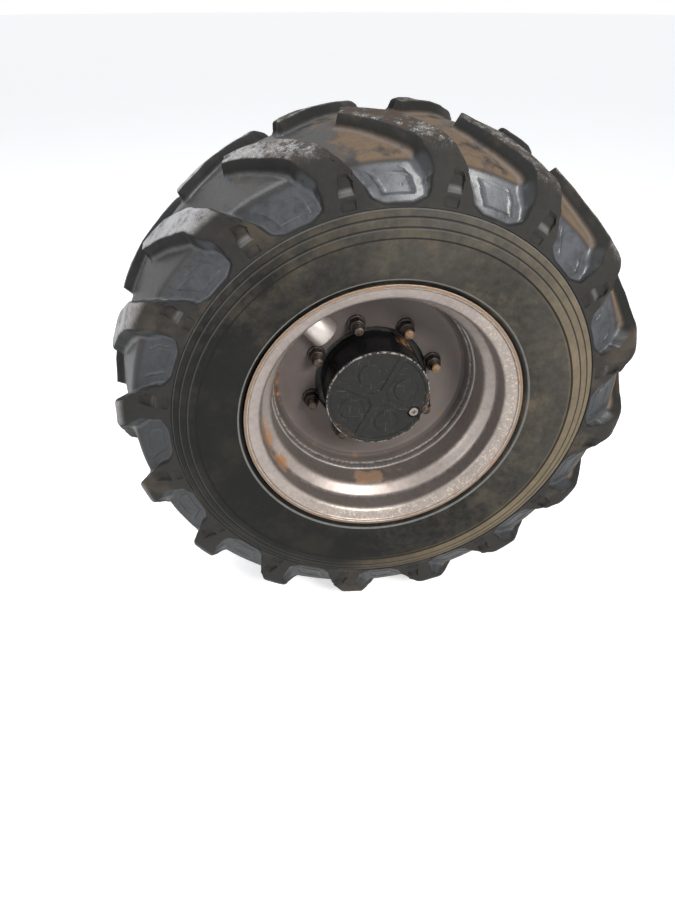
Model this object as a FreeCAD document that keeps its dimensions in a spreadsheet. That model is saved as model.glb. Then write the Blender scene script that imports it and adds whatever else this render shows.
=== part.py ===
import FreeCAD, Part
import math
import os

import Sketcher

# Wheel end of a site dumper: tyre, rim, planetary hub, spindle and brake housing.
# The origin is the centre of the face that bolts to the axle beam. +Z is up and
# +Y points inboard, so every piece lies at negative Y. A distance called "out" is
# measured from the mounting face towards the outside of the machine.
# Sizes are millimetres and degrees.

SIZES = (
    # Where the main planes lie, measured out from the mounting face
    ("tread_centre_out", 241.0),
    ("disc_face_out", 255.0),
    ("cover_face_out", 344.0),
    # Tyre: half widths are measured from the tread's centre plane, drops inward
    # from the crown, and places are shares of the height from bead seat to crown
    ("crown_radius", 538.0),
    ("crown_flat_half", 25.0),
    ("crown_drop", 25.0),
    ("tread_half", 170.0),
    ("shoulder_drop", 37.0),
    ("shoulder_reach", 13.0),
    ("lug_root_place", 0.558),
    ("lug_root_reach", 25.5),
    ("lug_root_step", 3.0),
    ("lug_depth", 22.0),
    ("void_edge_drop", 56.0),
    ("void_edge_inset", 7.0),
    ("bulge_place", 0.45),
    ("bulge_half", 206.0),
    ("lower_wall_place", 0.284),
    ("lower_wall_half", 201.0),
    ("bead_ridge_rise", 8.6),
    ("bead_ridge_half", 180.0),
    ("bead_gap", 0.3),
    ("crown_carcass", 42.0),
    ("shoulder_carcass", 21.0),
    ("side_carcass", 15.0),
    ("cavity_mouth_half", 128.0),
    # Tread lugs: shares are of half the pitch along the crown
    ("lug_count", 16.0),
    ("lug_end_lean_share", 0.58),
    ("lug_end_share", 0.28),
    ("lug_tip_lean_share", 0.85),
    ("lug_tip_share", 0.05),
    ("lug_tip_half", 10.0),
    ("lug_tip_step", 20.0),
    ("lug_pattern_shift", 22.0),
    ("lug_hollow_arc", 850.0),
    ("lug_back_arc", 285.0),
    ("cut_margin", 30.0),
    ("lug_turn", 3.0),
    # Rim barrel: a rolled section of one wall
    ("rim_wall", 8.0),
    ("bead_seat_radius", 254.0),
    ("bead_seat_drop", 2.5),
    ("flange_height", 25.4),
    ("flange_half", 165.0),
    ("flange_curl", 14.0),
    ("curl_rise", 3.0),
    ("heel_top_drop", 5.0),
    ("seat_inner_half", 129.0),
    ("well_half", 111.0),
    ("well_depth", 25.0),
    # Rim disc
    ("disc_thickness", 13.0),
    ("disc_bend", 10.0),
    ("disc_rim_projection", 24.0),
    ("disc_rim_wall", 7.0),
    ("pilot_clearance", 0.5),
    ("weld_width", 18.0),
    ("weld_height", 5.0),
    # Wheel fastening
    ("stud_count", 8.0),
    ("stud_circle_radius", 137.5),
    ("stud_phase", 15.0),
    ("stud_radius", 10.0),
    ("stud_hole_clearance", 1.0),
    ("stud_fit", 0.1),
    ("stud_projection", 43.0),
    ("nut_flats", 30.0),
    ("nut_height", 22.0),
    # Valve and its guard
    ("valve_angle", 131.0),
    ("valve_setback", 15.0),
    ("valve_stem_radius", 4.2),
    ("valve_base_radius", 8.0),
    ("valve_base_length", 12.0),
    ("valve_hole_clearance", 0.3),
    ("valve_tail", 4.0),
    ("valve_length", 40.0),
    ("valve_cap_radius", 5.5),
    ("valve_cap_length", 12.0),
    ("guard_radius", 30.0),
    ("guard_wall", 5.0),
    ("guard_leg", 10.0),
    ("guard_inner_end", 152.0),
    ("guard_end_gap", 9.0),
    # Hub and planet cover
    ("hub_flange_radius", 165.0),
    ("hub_flange_thickness", 22.0),
    ("hub_drum_radius", 118.0),
    ("hub_waist_radius", 104.0),
    ("hub_shoulder_out", 168.0),
    ("hub_taper_length", 18.0),
    ("end_play", 0.5),
    ("hub_end_out", 116.0),
    ("hub_recess_depth", 10.5),
    ("cover_radius", 110.0),
    ("cover_chamfer", 2.0),
    ("cover_relief", 3.0),
    ("cover_recess_radius", 60.0),
    ("cover_recess_depth", 33.0),
    ("cover_ring_width", 9.0),
    ("pad_radius", 25.0),
    ("pad_circle_radius", 60.0),
    ("pad_count", 4.0),
    ("cover_rib_width", 13.0),
    ("cover_boss_radius", 20.0),
    ("plug_circle_radius", 88.0),
    ("plug_angle", -27.0),
    ("plug_recess_radius", 14.0),
    ("plug_recess_depth", 10.0),
    ("plug_notch_width", 18.0),
    ("plug_radius", 10.0),
    ("plug_height", 7.0),
    ("plug_socket_flats", 8.0),
    ("plug_socket_depth", 5.0),
    # Spindle, brake housing and half shaft
    ("running_clearance", 0.05),
    ("housing_flange_radius", 172.0),
    ("housing_flange_thickness", 20.0),
    ("mount_circle_radius", 150.0),
    ("mount_hole_radius", 8.75),
    ("mount_hole_count", 12.0),
    ("mount_phase", 15.0),
    ("housing_rib_count", 6.0),
    ("housing_rib_width", 9.0),
    ("housing_rib_reach", 36.0),
    ("housing_rib_length", 40.0),
    ("housing_radius", 122.0),
    ("housing_corner", 10.0),
    ("housing_end_out", 84.0),
    ("housing_bore_radius", 52.0),
    ("spindle_flange_radius", 118.0),
    ("spindle_flange_thickness", 14.0),
    ("spindle_neck_radius", 74.0),
    ("spindle_journal_radius", 55.0),
    ("spindle_end_out", 250.0),
    ("spindle_bore_radius", 32.0),
    ("spindle_bolt_count", 10.0),
    ("spindle_bolt_circle_radius", 101.0),
    ("spindle_bolt_flats", 18.0),
    ("spindle_bolt_head", 8.0),
    ("shaft_radius", 22.0),
    ("shaft_start_out", 14.0),
    ("shaft_end_out", 262.0),
    ("spline_count", 16.0),
    ("spline_length", 40.0),
    ("spline_depth", 2.5),
    ("spline_gap", 4.2),
    ("seal_out", 60.0),
    ("seal_width", 14.0),
    ("hub_seal_radius", 92.0),
    ("hub_seal_width", 10.0),
    ("port_radius", 9.0),
    ("port_out", 52.0),
    ("port_height", 12.0),
    ("port_angle", 70.0),
    ("bleed_angle", 110.0),
    ("bleed_radius", 4.0),
    ("bleed_height", 18.0),
    ("bleed_flats", 11.0),
    ("bleed_hex_height", 8.0),
)

document = FreeCAD.newDocument("wheel_end")
sheet = document.addObject("Spreadsheet::Sheet", "Sizes")
for row, (alias, number) in enumerate(SIZES, start=1):
    sheet.set("A%d" % row, alias)
    sheet.set("B%d" % row, "%g" % number)
    sheet.setAlias("B%d" % row, alias)
document.recompute()


class Size:
    """A number together with the sheet expression that gives it."""

    def __init__(self, value, text):
        self.value = float(value)
        self.text = text

    @staticmethod
    def of(other):
        if isinstance(other, Size):
            return other
        return Size(other, "%g" % other)

    def __add__(self, other):
        other = Size.of(other)
        return Size(self.value + other.value, "(%s + %s)" % (self.text, other.text))

    def __radd__(self, other):
        return Size.of(other) + self

    def __sub__(self, other):
        other = Size.of(other)
        return Size(self.value - other.value, "(%s - %s)" % (self.text, other.text))

    def __rsub__(self, other):
        return Size.of(other) - self

    def __mul__(self, other):
        other = Size.of(other)
        return Size(self.value * other.value, "(%s * %s)" % (self.text, other.text))

    __rmul__ = __mul__

    def __truediv__(self, other):
        other = Size.of(other)
        return Size(self.value / other.value, "(%s / %s)" % (self.text, other.text))

    def __rtruediv__(self, other):
        return Size.of(other) / self

    def __neg__(self):
        return Size(0.0, "0") - self

    def cos(self):
        return Size(math.cos(math.radians(self.value)), "cos(%s * 1deg)" % self.text)

    def sin(self):
        return Size(math.sin(math.radians(self.value)), "sin(%s * 1deg)" % self.text)


class Sheet:
    """Gives each named size of the sheet as an attribute."""

    def __getattr__(self, name):
        return Size(sheet.get(name), "Sizes." + name)


s = Sheet()
ZERO = Size(0.0, "0")
CONVEX = 1
HOLLOW = -1
HEXAGON_SIDES = 6


def bind(item, name, size):
    """Ties a property to the sheet and sets its present value."""
    item.setExpression(name, size.text)


def datum(body, role):
    """The body's own origin plane or axis with this role."""
    for item in body.Origin.OriginFeatures:
        if item.Role == role:
            return item
    raise ValueError(role)


def new_body(label):
    """A body for one node; its solids may stand apart."""
    body = document.addObject("PartDesign::Body", label)
    body.Label = label
    body.AllowCompound = True
    return body


def new_sketch(body, name, role, offset=ZERO, turn=0.0):
    """A sketch on one of the body's origin planes, moved along its normal."""
    sketch = body.newObject("Sketcher::SketchObject", name)
    sketch.AttachmentSupport = [(datum(body, role), "")]
    sketch.MapMode = "FlatFace"
    rotation = FreeCAD.Rotation(FreeCAD.Vector(0, 0, 1), turn)
    sketch.AttachmentOffset = FreeCAD.Placement(FreeCAD.Vector(0, 0, offset.value), rotation)
    if offset.text != "0":
        sketch.setExpression("AttachmentOffset.Base.z", offset.text)
    return sketch


def place(sketch, item, end, across, along):
    """Fixes a point of a sketch by its two signed distances from the origin."""
    for kind, axis, size in (("DistanceX", -2, across), ("DistanceY", -1, along)):
        if abs(size.value) < 1e-9:
            sketch.addConstraint(Sketcher.Constraint("PointOnObject", item, end, axis))
            continue
        pair = (-1, 1, item, end)
        if size.value < 0:
            pair = (item, end, -1, 1)
            size = -size
        index = sketch.addConstraint(Sketcher.Constraint(kind, *pair, size.value))
        sketch.setExpression("Constraints[%d]" % index, size.text)


def arc_between(start, finish, radius, side):
    """The short arc through two points, its centre to the left when side is +1."""
    middle = (start + finish) * 0.5
    chord = finish - start
    half = chord.Length / 2
    rise = math.sqrt(max(radius * radius - half * half, 0.0))
    normal = FreeCAD.Vector(-chord.y, chord.x, 0)
    normal.normalize()
    centre = middle + normal * rise * side
    bulge = middle - centre
    bulge.normalize()
    return Part.Arc(start, centre + bulge * radius, finish)


def outline(sketch, points, arcs=None):
    """Draws a closed outline of lines and arcs and ties its corners to the sheet.

    points holds signed (across, along) sizes in order. arcs maps the number of a
    side to (radius, shape), where the shape is CONVEX or HOLLOW.
    """
    arcs = arcs or {}
    corners = [FreeCAD.Vector(x.value, y.value, 0) for x, y in points]
    count = len(points)
    pairs = zip(corners, corners[1:] + corners[:1])
    area = sum(a.x * b.y - b.x * a.y for a, b in pairs)
    left = 1 if area > 0 else -1
    ends = []
    for number in range(count):
        a = corners[number]
        b = corners[(number + 1) % count]
        if number not in arcs:
            item = sketch.addGeometry(Part.LineSegment(a, b))
            ends.append((item, 1, 2))
            continue
        radius, shape = arcs[number]
        item = sketch.addGeometry(arc_between(a, b, radius.value, left * shape))
        forward = (sketch.getPoint(item, 1) - a).Length < (sketch.getPoint(item, 1) - b).Length
        ends.append((item, 1, 2) if forward else (item, 2, 1))
        index = sketch.addConstraint(Sketcher.Constraint("Radius", item, radius.value))
        sketch.setExpression("Constraints[%d]" % index, radius.text)
    for number in range(count):
        item, begin, _ = ends[number]
        other, _, finish = ends[number - 1]
        sketch.addConstraint(Sketcher.Constraint("Coincident", other, finish, item, begin))
        place(sketch, item, begin, *points[number])


def circle(sketch, across, along, radius):
    """A circle tied to the sheet by its centre and radius."""
    centre = FreeCAD.Vector(across.value, along.value, 0)
    normal = FreeCAD.Vector(0, 0, 1)
    item = sketch.addGeometry(Part.Circle(centre, normal, radius.value))
    place(sketch, item, 3, across, along)
    index = sketch.addConstraint(Sketcher.Constraint("Radius", item, radius.value))
    sketch.setExpression("Constraints[%d]" % index, radius.text)


def hexagon(sketch, across, along, flats):
    """A regular hexagon tied to the sheet, measured across its flats."""
    reach = flats / math.sqrt(3.0)
    points = []
    for number in range(HEXAGON_SIDES):
        angle = Size.of((number + 0.5) * 360 / HEXAGON_SIDES)
        points.append((across + reach * angle.cos(), along + reach * angle.sin()))
    outline(sketch, points)


def polar(radius, angle):
    """Across and along distances of a point given by its radius and angle."""
    return radius * angle.cos(), radius * angle.sin()


def slot_rectangle(sketch, start, finish, width, angle):
    """A rectangle from one radius to another along a direction."""
    half = width / 2
    corners = ((start, -half), (finish, -half), (finish, half), (start, half))
    points = []
    for far, aside in corners:
        across = far * angle.cos() - aside * angle.sin()
        along = far * angle.sin() + aside * angle.cos()
        points.append((across, along))
    outline(sketch, points)


def turn(body, name, sketch, cut=False):
    """Turns a profile a full circle about the wheel's axis."""
    kind = "PartDesign::Groove" if cut else "PartDesign::Revolution"
    feature = body.newObject(kind, name)
    feature.Profile = sketch
    feature.ReferenceAxis = (datum(body, "Y_Axis"), [""])
    feature.Angle = 360.0
    body.Tip = feature
    return feature


def extrude(body, name, sketch, length, cut=False, reverse=False):
    """Pads a sketch along its normal, or cuts it into the solid, to a length."""
    feature = body.newObject("PartDesign::Pocket" if cut else "PartDesign::Pad", name)
    feature.Profile = sketch
    feature.Length = length.value
    bind(feature, "Length", length)
    feature.Reversed = reverse
    body.Tip = feature
    return feature


def ring_of(body, name, features, count):
    """Repeats features evenly about the wheel's axis."""
    pattern = body.newObject("PartDesign::PolarPattern", name)
    pattern.Originals = features
    pattern.Axis = (datum(body, "Y_Axis"), [""])
    pattern.Angle = 360.0
    pattern.Occurrences = int(round(count.value))
    bind(pattern, "Occurrences", count)
    body.Tip = pattern
    return pattern


def turned(body, name, profile, arcs=None, cut=False):
    """Turns a profile of (out, radius) corners about the wheel's axis."""
    sketch = new_sketch(body, name + "_profile", "YZ_Plane")
    outline(sketch, [(-out, radius) for out, radius in profile], arcs)
    return turn(body, name, sketch, cut)


def both_sides(half):
    """Carries (half width, radius) corners over to the inboard side."""
    out = [(s.tread_centre_out + width, radius) for width, radius in half]
    back = [(s.tread_centre_out - width, radius) for width, radius in reversed(half)]
    return out + back


def flange_radius():
    """Outer radius of the rim's flanges."""
    return s.bead_seat_radius + s.flange_height


def well_radius():
    """Radius of the rim's well on the tyre's side."""
    return s.bead_seat_radius - s.well_depth


def up_the_wall(place):
    """Radius of a point of the tyre's wall, from its share of the wall's height."""
    return s.bead_seat_radius + (s.crown_radius - s.bead_seat_radius) * place


def lug_outline(side):
    """Plan of one lug on a side of the tread: a swept band, bowed and narrower at its tip."""
    half_pitch = math.pi * s.crown_radius / s.lug_count
    end_lean = half_pitch * s.lug_end_lean_share
    end = half_pitch * s.lug_end_share
    tip_lean = half_pitch * s.lug_tip_lean_share
    tip = half_pitch * s.lug_tip_share
    shoulder = -s.tread_centre_out + (s.tread_half + s.lug_root_reach + s.cut_margin / 2) * side
    inner = -s.tread_centre_out - s.lug_pattern_shift + s.lug_tip_half * side
    outer = inner + s.lug_tip_step * side
    return [
        (end_lean + end, shoulder),
        (end_lean - end, shoulder),
        (-tip_lean - tip, outer),
        (-tip_lean + tip, inner),
    ]


def build_tyre():
    """Carcass of one turned section with swept lugs, hollow inside."""
    body = new_body("tyre")
    gap = s.bead_gap
    heel_half = s.flange_half - gap
    root = up_the_wall(s.lug_root_place)
    half = [
        (s.seat_inner_half - s.rim_wall / 2, s.bead_seat_radius - s.bead_seat_drop + gap),
        (heel_half, s.bead_seat_radius + gap),
        (heel_half, flange_radius() - s.heel_top_drop),
        (s.bead_ridge_half, flange_radius() + s.bead_ridge_rise),
        (s.lower_wall_half, up_the_wall(s.lower_wall_place)),
        (s.bulge_half, up_the_wall(s.bulge_place)),
        (s.tread_half + s.lug_root_reach - s.lug_root_step, root),
        (s.tread_half - s.void_edge_inset, s.crown_radius - s.void_edge_drop),
        (s.crown_flat_half, s.crown_radius - s.lug_depth),
    ]
    turned(body, "carcass", both_sides(half))
    height = s.crown_radius - root + s.cut_margin
    half_pitch = 180 / s.lug_count
    for name, side in (("outer", -1), ("inner", 1)):
        sketch = new_sketch(body, name + "_lug_plan", "XY_Plane", root)
        edges = {1: (s.lug_hollow_arc, HOLLOW), 3: (s.lug_back_arc, CONVEX)}
        outline(sketch, lug_outline(side), edges)
        if side > 0:
            set_offset(sketch, root * half_pitch.sin(), ZERO, root * half_pitch.cos(), half_pitch)
        lug = extrude(body, name + "_lug", sketch, height)
        ring_of(body, name + "_lugs", [lug], s.lug_count)
    trim_lugs(body, root)
    hollow_out(body)
    turned_by = FreeCAD.Rotation(FreeCAD.Vector(0, 1, 0), s.lug_turn.value)
    body.Placement = FreeCAD.Placement(FreeCAD.Vector(0, 0, 0), turned_by)
    bind(body, "Placement.Rotation.Angle", s.lug_turn)
    return body


def set_offset(sketch, x, y, z, angle):
    """Moves a sketch off its plane and turns it about the wheel's axis."""
    turned_by = FreeCAD.Rotation(FreeCAD.Vector(0, 1, 0), angle.value)
    sketch.AttachmentOffset = FreeCAD.Placement(FreeCAD.Vector(x.value, y.value, z.value), turned_by)
    for axis, size in (("x", x), ("y", y), ("z", z)):
        sketch.setExpression("AttachmentOffset.Base." + axis, size.text)
    sketch.setExpression("AttachmentOffset.Rotation.Angle", angle.text)


def trim_lugs(body, root):
    """Cuts the lugs' tips to the crown and their ends to the shoulder."""
    root_half = s.tread_half + s.lug_root_reach
    clear_half = root_half + s.cut_margin
    below = root - s.cut_margin / 3
    half = [
        (clear_half, s.crown_radius + s.cut_margin * 2),
        (clear_half, below),
        (root_half + s.cut_margin / 3, below),
        (root_half, root),
        (s.tread_half + s.shoulder_reach, s.crown_radius - s.shoulder_drop),
        (s.tread_half, s.crown_radius - s.crown_drop),
        (s.crown_flat_half, s.crown_radius),
    ]
    turned(body, "crown_trim", both_sides(half), cut=True)


def hollow_out(body):
    """Cuts the air space, open between the beads, one carcass wall inside the outline."""
    void_edge_half = s.tread_half - s.void_edge_inset
    half = [
        (s.cavity_mouth_half, s.bead_seat_radius - s.cut_margin / 2),
        (s.bulge_half - s.side_carcass, up_the_wall(s.bulge_place)),
        (void_edge_half - s.shoulder_carcass, s.crown_radius - s.lug_depth - s.crown_carcass),
    ]
    turned(body, "air_space", both_sides(half), cut=True)


def radial_sketch(body, name, angle, distance):
    """A sketch square to a radius of the wheel, its across direction tangential."""
    sketch = new_sketch(body, name, "XY_Plane")
    across, along = polar(distance, angle)
    set_offset(sketch, across, ZERO, along, 90 - angle)
    return sketch


def valve_out():
    """How far out the valve's axis lies."""
    return s.disc_face_out + s.valve_setback


def cut_valve_hole(body):
    """Drills the radial hole that the valve passes through."""
    sketch = radial_sketch(body, "valve_hole_plan", s.valve_angle, s.guard_inner_end)
    circle(sketch, ZERO, -valve_out(), s.valve_base_radius + s.valve_hole_clearance)
    reach = flange_radius() - s.guard_inner_end
    extrude(body, "valve_hole", sketch, reach, cut=True, reverse=True)


def build_barrel():
    """Rolled barrel: curled flanges, bead seats and a drop centre, one wall thick."""
    body = new_body("rim_barrel")
    lip_half = s.flange_half + s.flange_curl
    wall = s.rim_wall
    curl_radius = flange_radius() - s.flange_curl
    slope_shift = wall / 2
    seat_end = s.bead_seat_radius - s.bead_seat_drop
    tyre_side = [
        (lip_half, flange_radius()),
        (s.flange_half + s.curl_rise, flange_radius() - s.curl_rise),
        (s.flange_half, curl_radius),
        (s.flange_half, s.bead_seat_radius),
        (s.seat_inner_half - slope_shift, seat_end),
        (s.well_half - slope_shift, well_radius()),
    ]
    open_side = [
        (lip_half, flange_radius() - wall),
        (s.flange_half + wall, curl_radius),
        (s.flange_half, s.bead_seat_radius - wall),
        (s.seat_inner_half, seat_end - wall),
        (s.well_half, well_radius() - wall),
    ]
    profile = both_sides(tyre_side) + list(reversed(both_sides(open_side)))
    turned(body, "barrel_section", profile)
    cut_valve_hole(body)
    return body


def build_disc():
    """Dished disc: flat face, bent rim that seats in the barrel, pilot bore, stud holes."""
    body = new_body("rim_disc")
    back = s.disc_face_out - s.disc_thickness
    seat = well_radius() - s.rim_wall
    lip = seat - s.disc_rim_wall
    end = s.disc_face_out + s.disc_rim_projection
    bore = s.cover_radius + s.pilot_clearance
    bend = s.disc_bend
    profile = [
        (back, bore),
        (back, seat - bend),
        (back + bend, seat),
        (end, seat),
        (end, lip),
        (s.disc_face_out + bend / 2, lip),
        (s.disc_face_out, lip - bend / 2),
        (s.disc_face_out, bore),
    ]
    turned(body, "disc_section", profile)
    sketch = new_sketch(body, "stud_hole_plan", "XZ_Plane", back)
    circle(sketch, *polar(s.stud_circle_radius, s.stud_phase), s.stud_radius + s.stud_hole_clearance)
    hole = extrude(body, "stud_hole", sketch, s.disc_thickness, cut=True, reverse=True)
    ring_of(body, "stud_holes", [hole], s.stud_count)
    cut_valve_hole(body)
    return body


def build_weld():
    """Fillet weld that joins the disc's rim to the barrel."""
    body = new_body("disc_weld")
    seat = well_radius() - s.rim_wall
    start = s.disc_face_out + s.disc_rim_projection
    profile = [(start, seat), (start + s.weld_width, seat), (start, seat - s.weld_height)]
    turned(body, "weld_section", profile)
    return body


def build_studs():
    """Studs pressed through the hub's flange."""
    body = new_body("wheel_studs")
    flange_back = s.disc_face_out - s.disc_thickness - s.hub_flange_thickness
    plan = new_sketch(body, "stud_plan", "XZ_Plane", flange_back)
    circle(plan, *polar(s.stud_circle_radius, s.stud_phase), s.stud_radius)
    length = s.hub_flange_thickness + s.disc_thickness + s.stud_projection
    stud = extrude(body, "stud", plan, length)
    ring_of(body, "studs", [stud], s.stud_count)
    return body


def build_nuts():
    """Hexagon nuts clamped on the disc."""
    body = new_body("wheel_nuts")
    centre = polar(s.stud_circle_radius, s.stud_phase)
    plan = new_sketch(body, "nut_plan", "XZ_Plane", s.disc_face_out)
    hexagon(plan, *centre, s.nut_flats)
    circle(plan, *centre, s.stud_radius + s.stud_fit)
    nut = extrude(body, "nut", plan, s.nut_height)
    ring_of(body, "nuts", [nut], s.stud_count)
    return body


def build_guard():
    """Bent half-pipe that shields the valve, its feet on the disc."""
    body = new_body("valve_guard")
    sketch = radial_sketch(body, "guard_plan", s.valve_angle, s.guard_inner_end)
    foot = -s.disc_face_out
    spring = foot - s.guard_leg
    inner = s.guard_radius - s.guard_wall
    points = [
        (s.guard_radius, foot),
        (s.guard_radius, spring),
        (ZERO, spring - s.guard_radius),
        (-s.guard_radius, spring),
        (-s.guard_radius, foot),
        (-inner, foot),
        (-inner, spring),
        (ZERO, spring - inner),
        (inner, spring),
        (inner, foot),
    ]
    outer_arc = (s.guard_radius, CONVEX)
    inner_arc = (inner, HOLLOW)
    outline(sketch, points, {1: outer_arc, 2: outer_arc, 6: inner_arc, 7: inner_arc})
    outer_end = well_radius() - s.rim_wall - s.disc_rim_wall - s.guard_end_gap
    extrude(body, "guard", sketch, outer_end - s.guard_inner_end)
    return body


def build_valve():
    """Valve stem through the barrel, with its cap."""
    stem = new_body("valve_stem")
    tip = well_radius() - s.valve_length
    sketch = radial_sketch(stem, "stem_plan", s.valve_angle, tip)
    circle(sketch, ZERO, -valve_out(), s.valve_stem_radius)
    extrude(stem, "stem", sketch, s.valve_length)
    base_start = well_radius() - s.rim_wall - s.valve_base_length
    base = radial_sketch(stem, "base_plan", s.valve_angle, base_start)
    circle(base, ZERO, -valve_out(), s.valve_base_radius)
    extrude(stem, "base", base, s.valve_base_length + s.rim_wall + s.valve_tail)
    cap = new_body("valve_cap")
    plan = radial_sketch(cap, "cap_plan", s.valve_angle, tip - s.valve_cap_length)
    circle(plan, ZERO, -valve_out(), s.valve_cap_radius)
    extrude(cap, "cap", plan, s.valve_cap_length)
    return [stem, cap]


def build_hub():
    """Hub casting: stud flange, gear drum and waist, bored for the spindle."""
    body = new_body("hub")
    face = s.disc_face_out - s.disc_thickness
    flange_back = face - s.hub_flange_thickness
    journal = s.spindle_journal_radius + s.running_clearance
    recess = s.hub_end_out + s.hub_recess_depth
    profile = [
        (s.hub_end_out, s.hub_seal_radius),
        (recess, s.hub_seal_radius),
        (recess, journal),
        (face, journal),
        (face, s.hub_flange_radius),
        (flange_back, s.hub_flange_radius),
        (flange_back, s.hub_drum_radius),
        (s.hub_shoulder_out, s.hub_drum_radius),
        (s.hub_shoulder_out - s.hub_taper_length, s.hub_waist_radius),
        (s.hub_end_out, s.hub_waist_radius),
    ]
    turned(body, "hub_section", profile)
    sketch = new_sketch(body, "flange_hole_plan", "XZ_Plane", flange_back)
    circle(sketch, *polar(s.stud_circle_radius, s.stud_phase), s.stud_radius + s.stud_fit)
    hole = extrude(body, "flange_hole", sketch, s.hub_flange_thickness, cut=True, reverse=True)
    ring_of(body, "flange_holes", [hole], s.stud_count)
    return body


def build_hub_seal():
    """Seal ring in the hub's inner end, running on the spindle's neck."""
    body = new_body("hub_seal")
    start = s.hub_end_out + s.hub_recess_depth - s.hub_seal_width
    lip = s.spindle_neck_radius + s.running_clearance
    end = start + s.hub_seal_width
    outer = s.hub_seal_radius
    turned(body, "seal_section", [(start, lip), (start, outer), (end, outer), (end, lip)])
    return body


def build_cover():
    """Planet cover: a drum through the disc with a relief face and a plug recess."""
    body = new_body("planet_cover")
    back = s.disc_face_out - s.disc_thickness
    floor = s.cover_face_out - s.cover_relief
    chamfer = s.cover_chamfer
    recess = back + s.cover_recess_depth
    profile = [
        (back, s.cover_recess_radius),
        (back, s.cover_radius),
        (s.cover_face_out - chamfer, s.cover_radius),
        (s.cover_face_out, s.cover_radius - chamfer),
        (s.cover_face_out, s.cover_radius - s.cover_ring_width),
        (floor, s.cover_radius - s.cover_ring_width),
        (floor, ZERO),
        (recess, ZERO),
        (recess, s.cover_recess_radius),
    ]
    turned(body, "cover_section", profile)
    boss = new_sketch(body, "boss_plan", "XZ_Plane", floor)
    circle(boss, ZERO, ZERO, s.cover_boss_radius)
    extrude(body, "boss", boss, s.cover_relief)
    pads = new_sketch(body, "pad_plan", "XZ_Plane", floor)
    circle(pads, s.pad_circle_radius, ZERO, s.pad_radius)
    pad = extrude(body, "pad", pads, s.cover_relief)
    ring_of(body, "pads", [pad], s.pad_count)
    ribs = new_sketch(body, "cover_rib_plan", "XZ_Plane", floor)
    rib_start = s.cover_boss_radius - s.cover_rib_width / 2
    rib_end = s.cover_radius - s.cover_ring_width / 2
    slot_rectangle(ribs, rib_start, rib_end, s.cover_rib_width, 180 / s.pad_count)
    rib = extrude(body, "cover_rib", ribs, s.cover_relief)
    ring_of(body, "cover_ribs", [rib], s.pad_count)
    seat = s.cover_face_out - s.plug_recess_depth
    hole = new_sketch(body, "plug_recess_plan", "XZ_Plane", seat)
    circle(hole, *polar(s.plug_circle_radius, s.plug_angle), s.plug_recess_radius)
    extrude(body, "plug_recess", hole, s.plug_recess_depth, cut=True, reverse=True)
    notch = new_sketch(body, "plug_notch_plan", "XZ_Plane", seat)
    notch_end = s.cover_radius + s.plug_notch_width
    slot_rectangle(notch, s.plug_circle_radius, notch_end, s.plug_notch_width, s.plug_angle)
    extrude(body, "plug_notch", notch, s.plug_recess_depth, cut=True, reverse=True)
    return body


def build_plug():
    """Oil plug with a hexagon socket, seated in the cover's recess."""
    body = new_body("oil_plug")
    seat = s.cover_face_out - s.plug_recess_depth
    centre = polar(s.plug_circle_radius, s.plug_angle)
    plan = new_sketch(body, "plug_plan", "XZ_Plane", seat)
    circle(plan, *centre, s.plug_radius)
    extrude(body, "plug", plan, s.plug_height)
    floor = seat + s.plug_height - s.plug_socket_depth
    socket = new_sketch(body, "socket_plan", "XZ_Plane", floor)
    hexagon(socket, *centre, s.plug_socket_flats)
    extrude(body, "socket", socket, s.plug_socket_depth, cut=True, reverse=True)
    return body


def build_spindle():
    """Hollow spindle with a bolted flange, a seal neck and a journal."""
    body = new_body("spindle")
    start = s.housing_end_out
    flange_end = start + s.spindle_flange_thickness
    neck_end = s.hub_end_out + s.hub_recess_depth - s.end_play
    profile = [
        (start, s.spindle_bore_radius),
        (start, s.spindle_flange_radius),
        (flange_end, s.spindle_flange_radius),
        (flange_end, s.spindle_neck_radius),
        (neck_end, s.spindle_neck_radius),
        (neck_end, s.spindle_journal_radius),
        (s.spindle_end_out, s.spindle_journal_radius),
        (s.spindle_end_out, s.spindle_bore_radius),
    ]
    turned(body, "spindle_section", profile)
    return body


def build_spindle_bolts():
    """Hexagon bolt heads on the spindle's flange."""
    body = new_body("spindle_bolts")
    plan = new_sketch(body, "bolt_plan", "XZ_Plane", s.housing_end_out + s.spindle_flange_thickness)
    hexagon(plan, s.spindle_bolt_circle_radius, ZERO, s.spindle_bolt_flats)
    bolt = extrude(body, "bolt", plan, s.spindle_bolt_head)
    ring_of(body, "bolts", [bolt], s.spindle_bolt_count)
    return body


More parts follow.
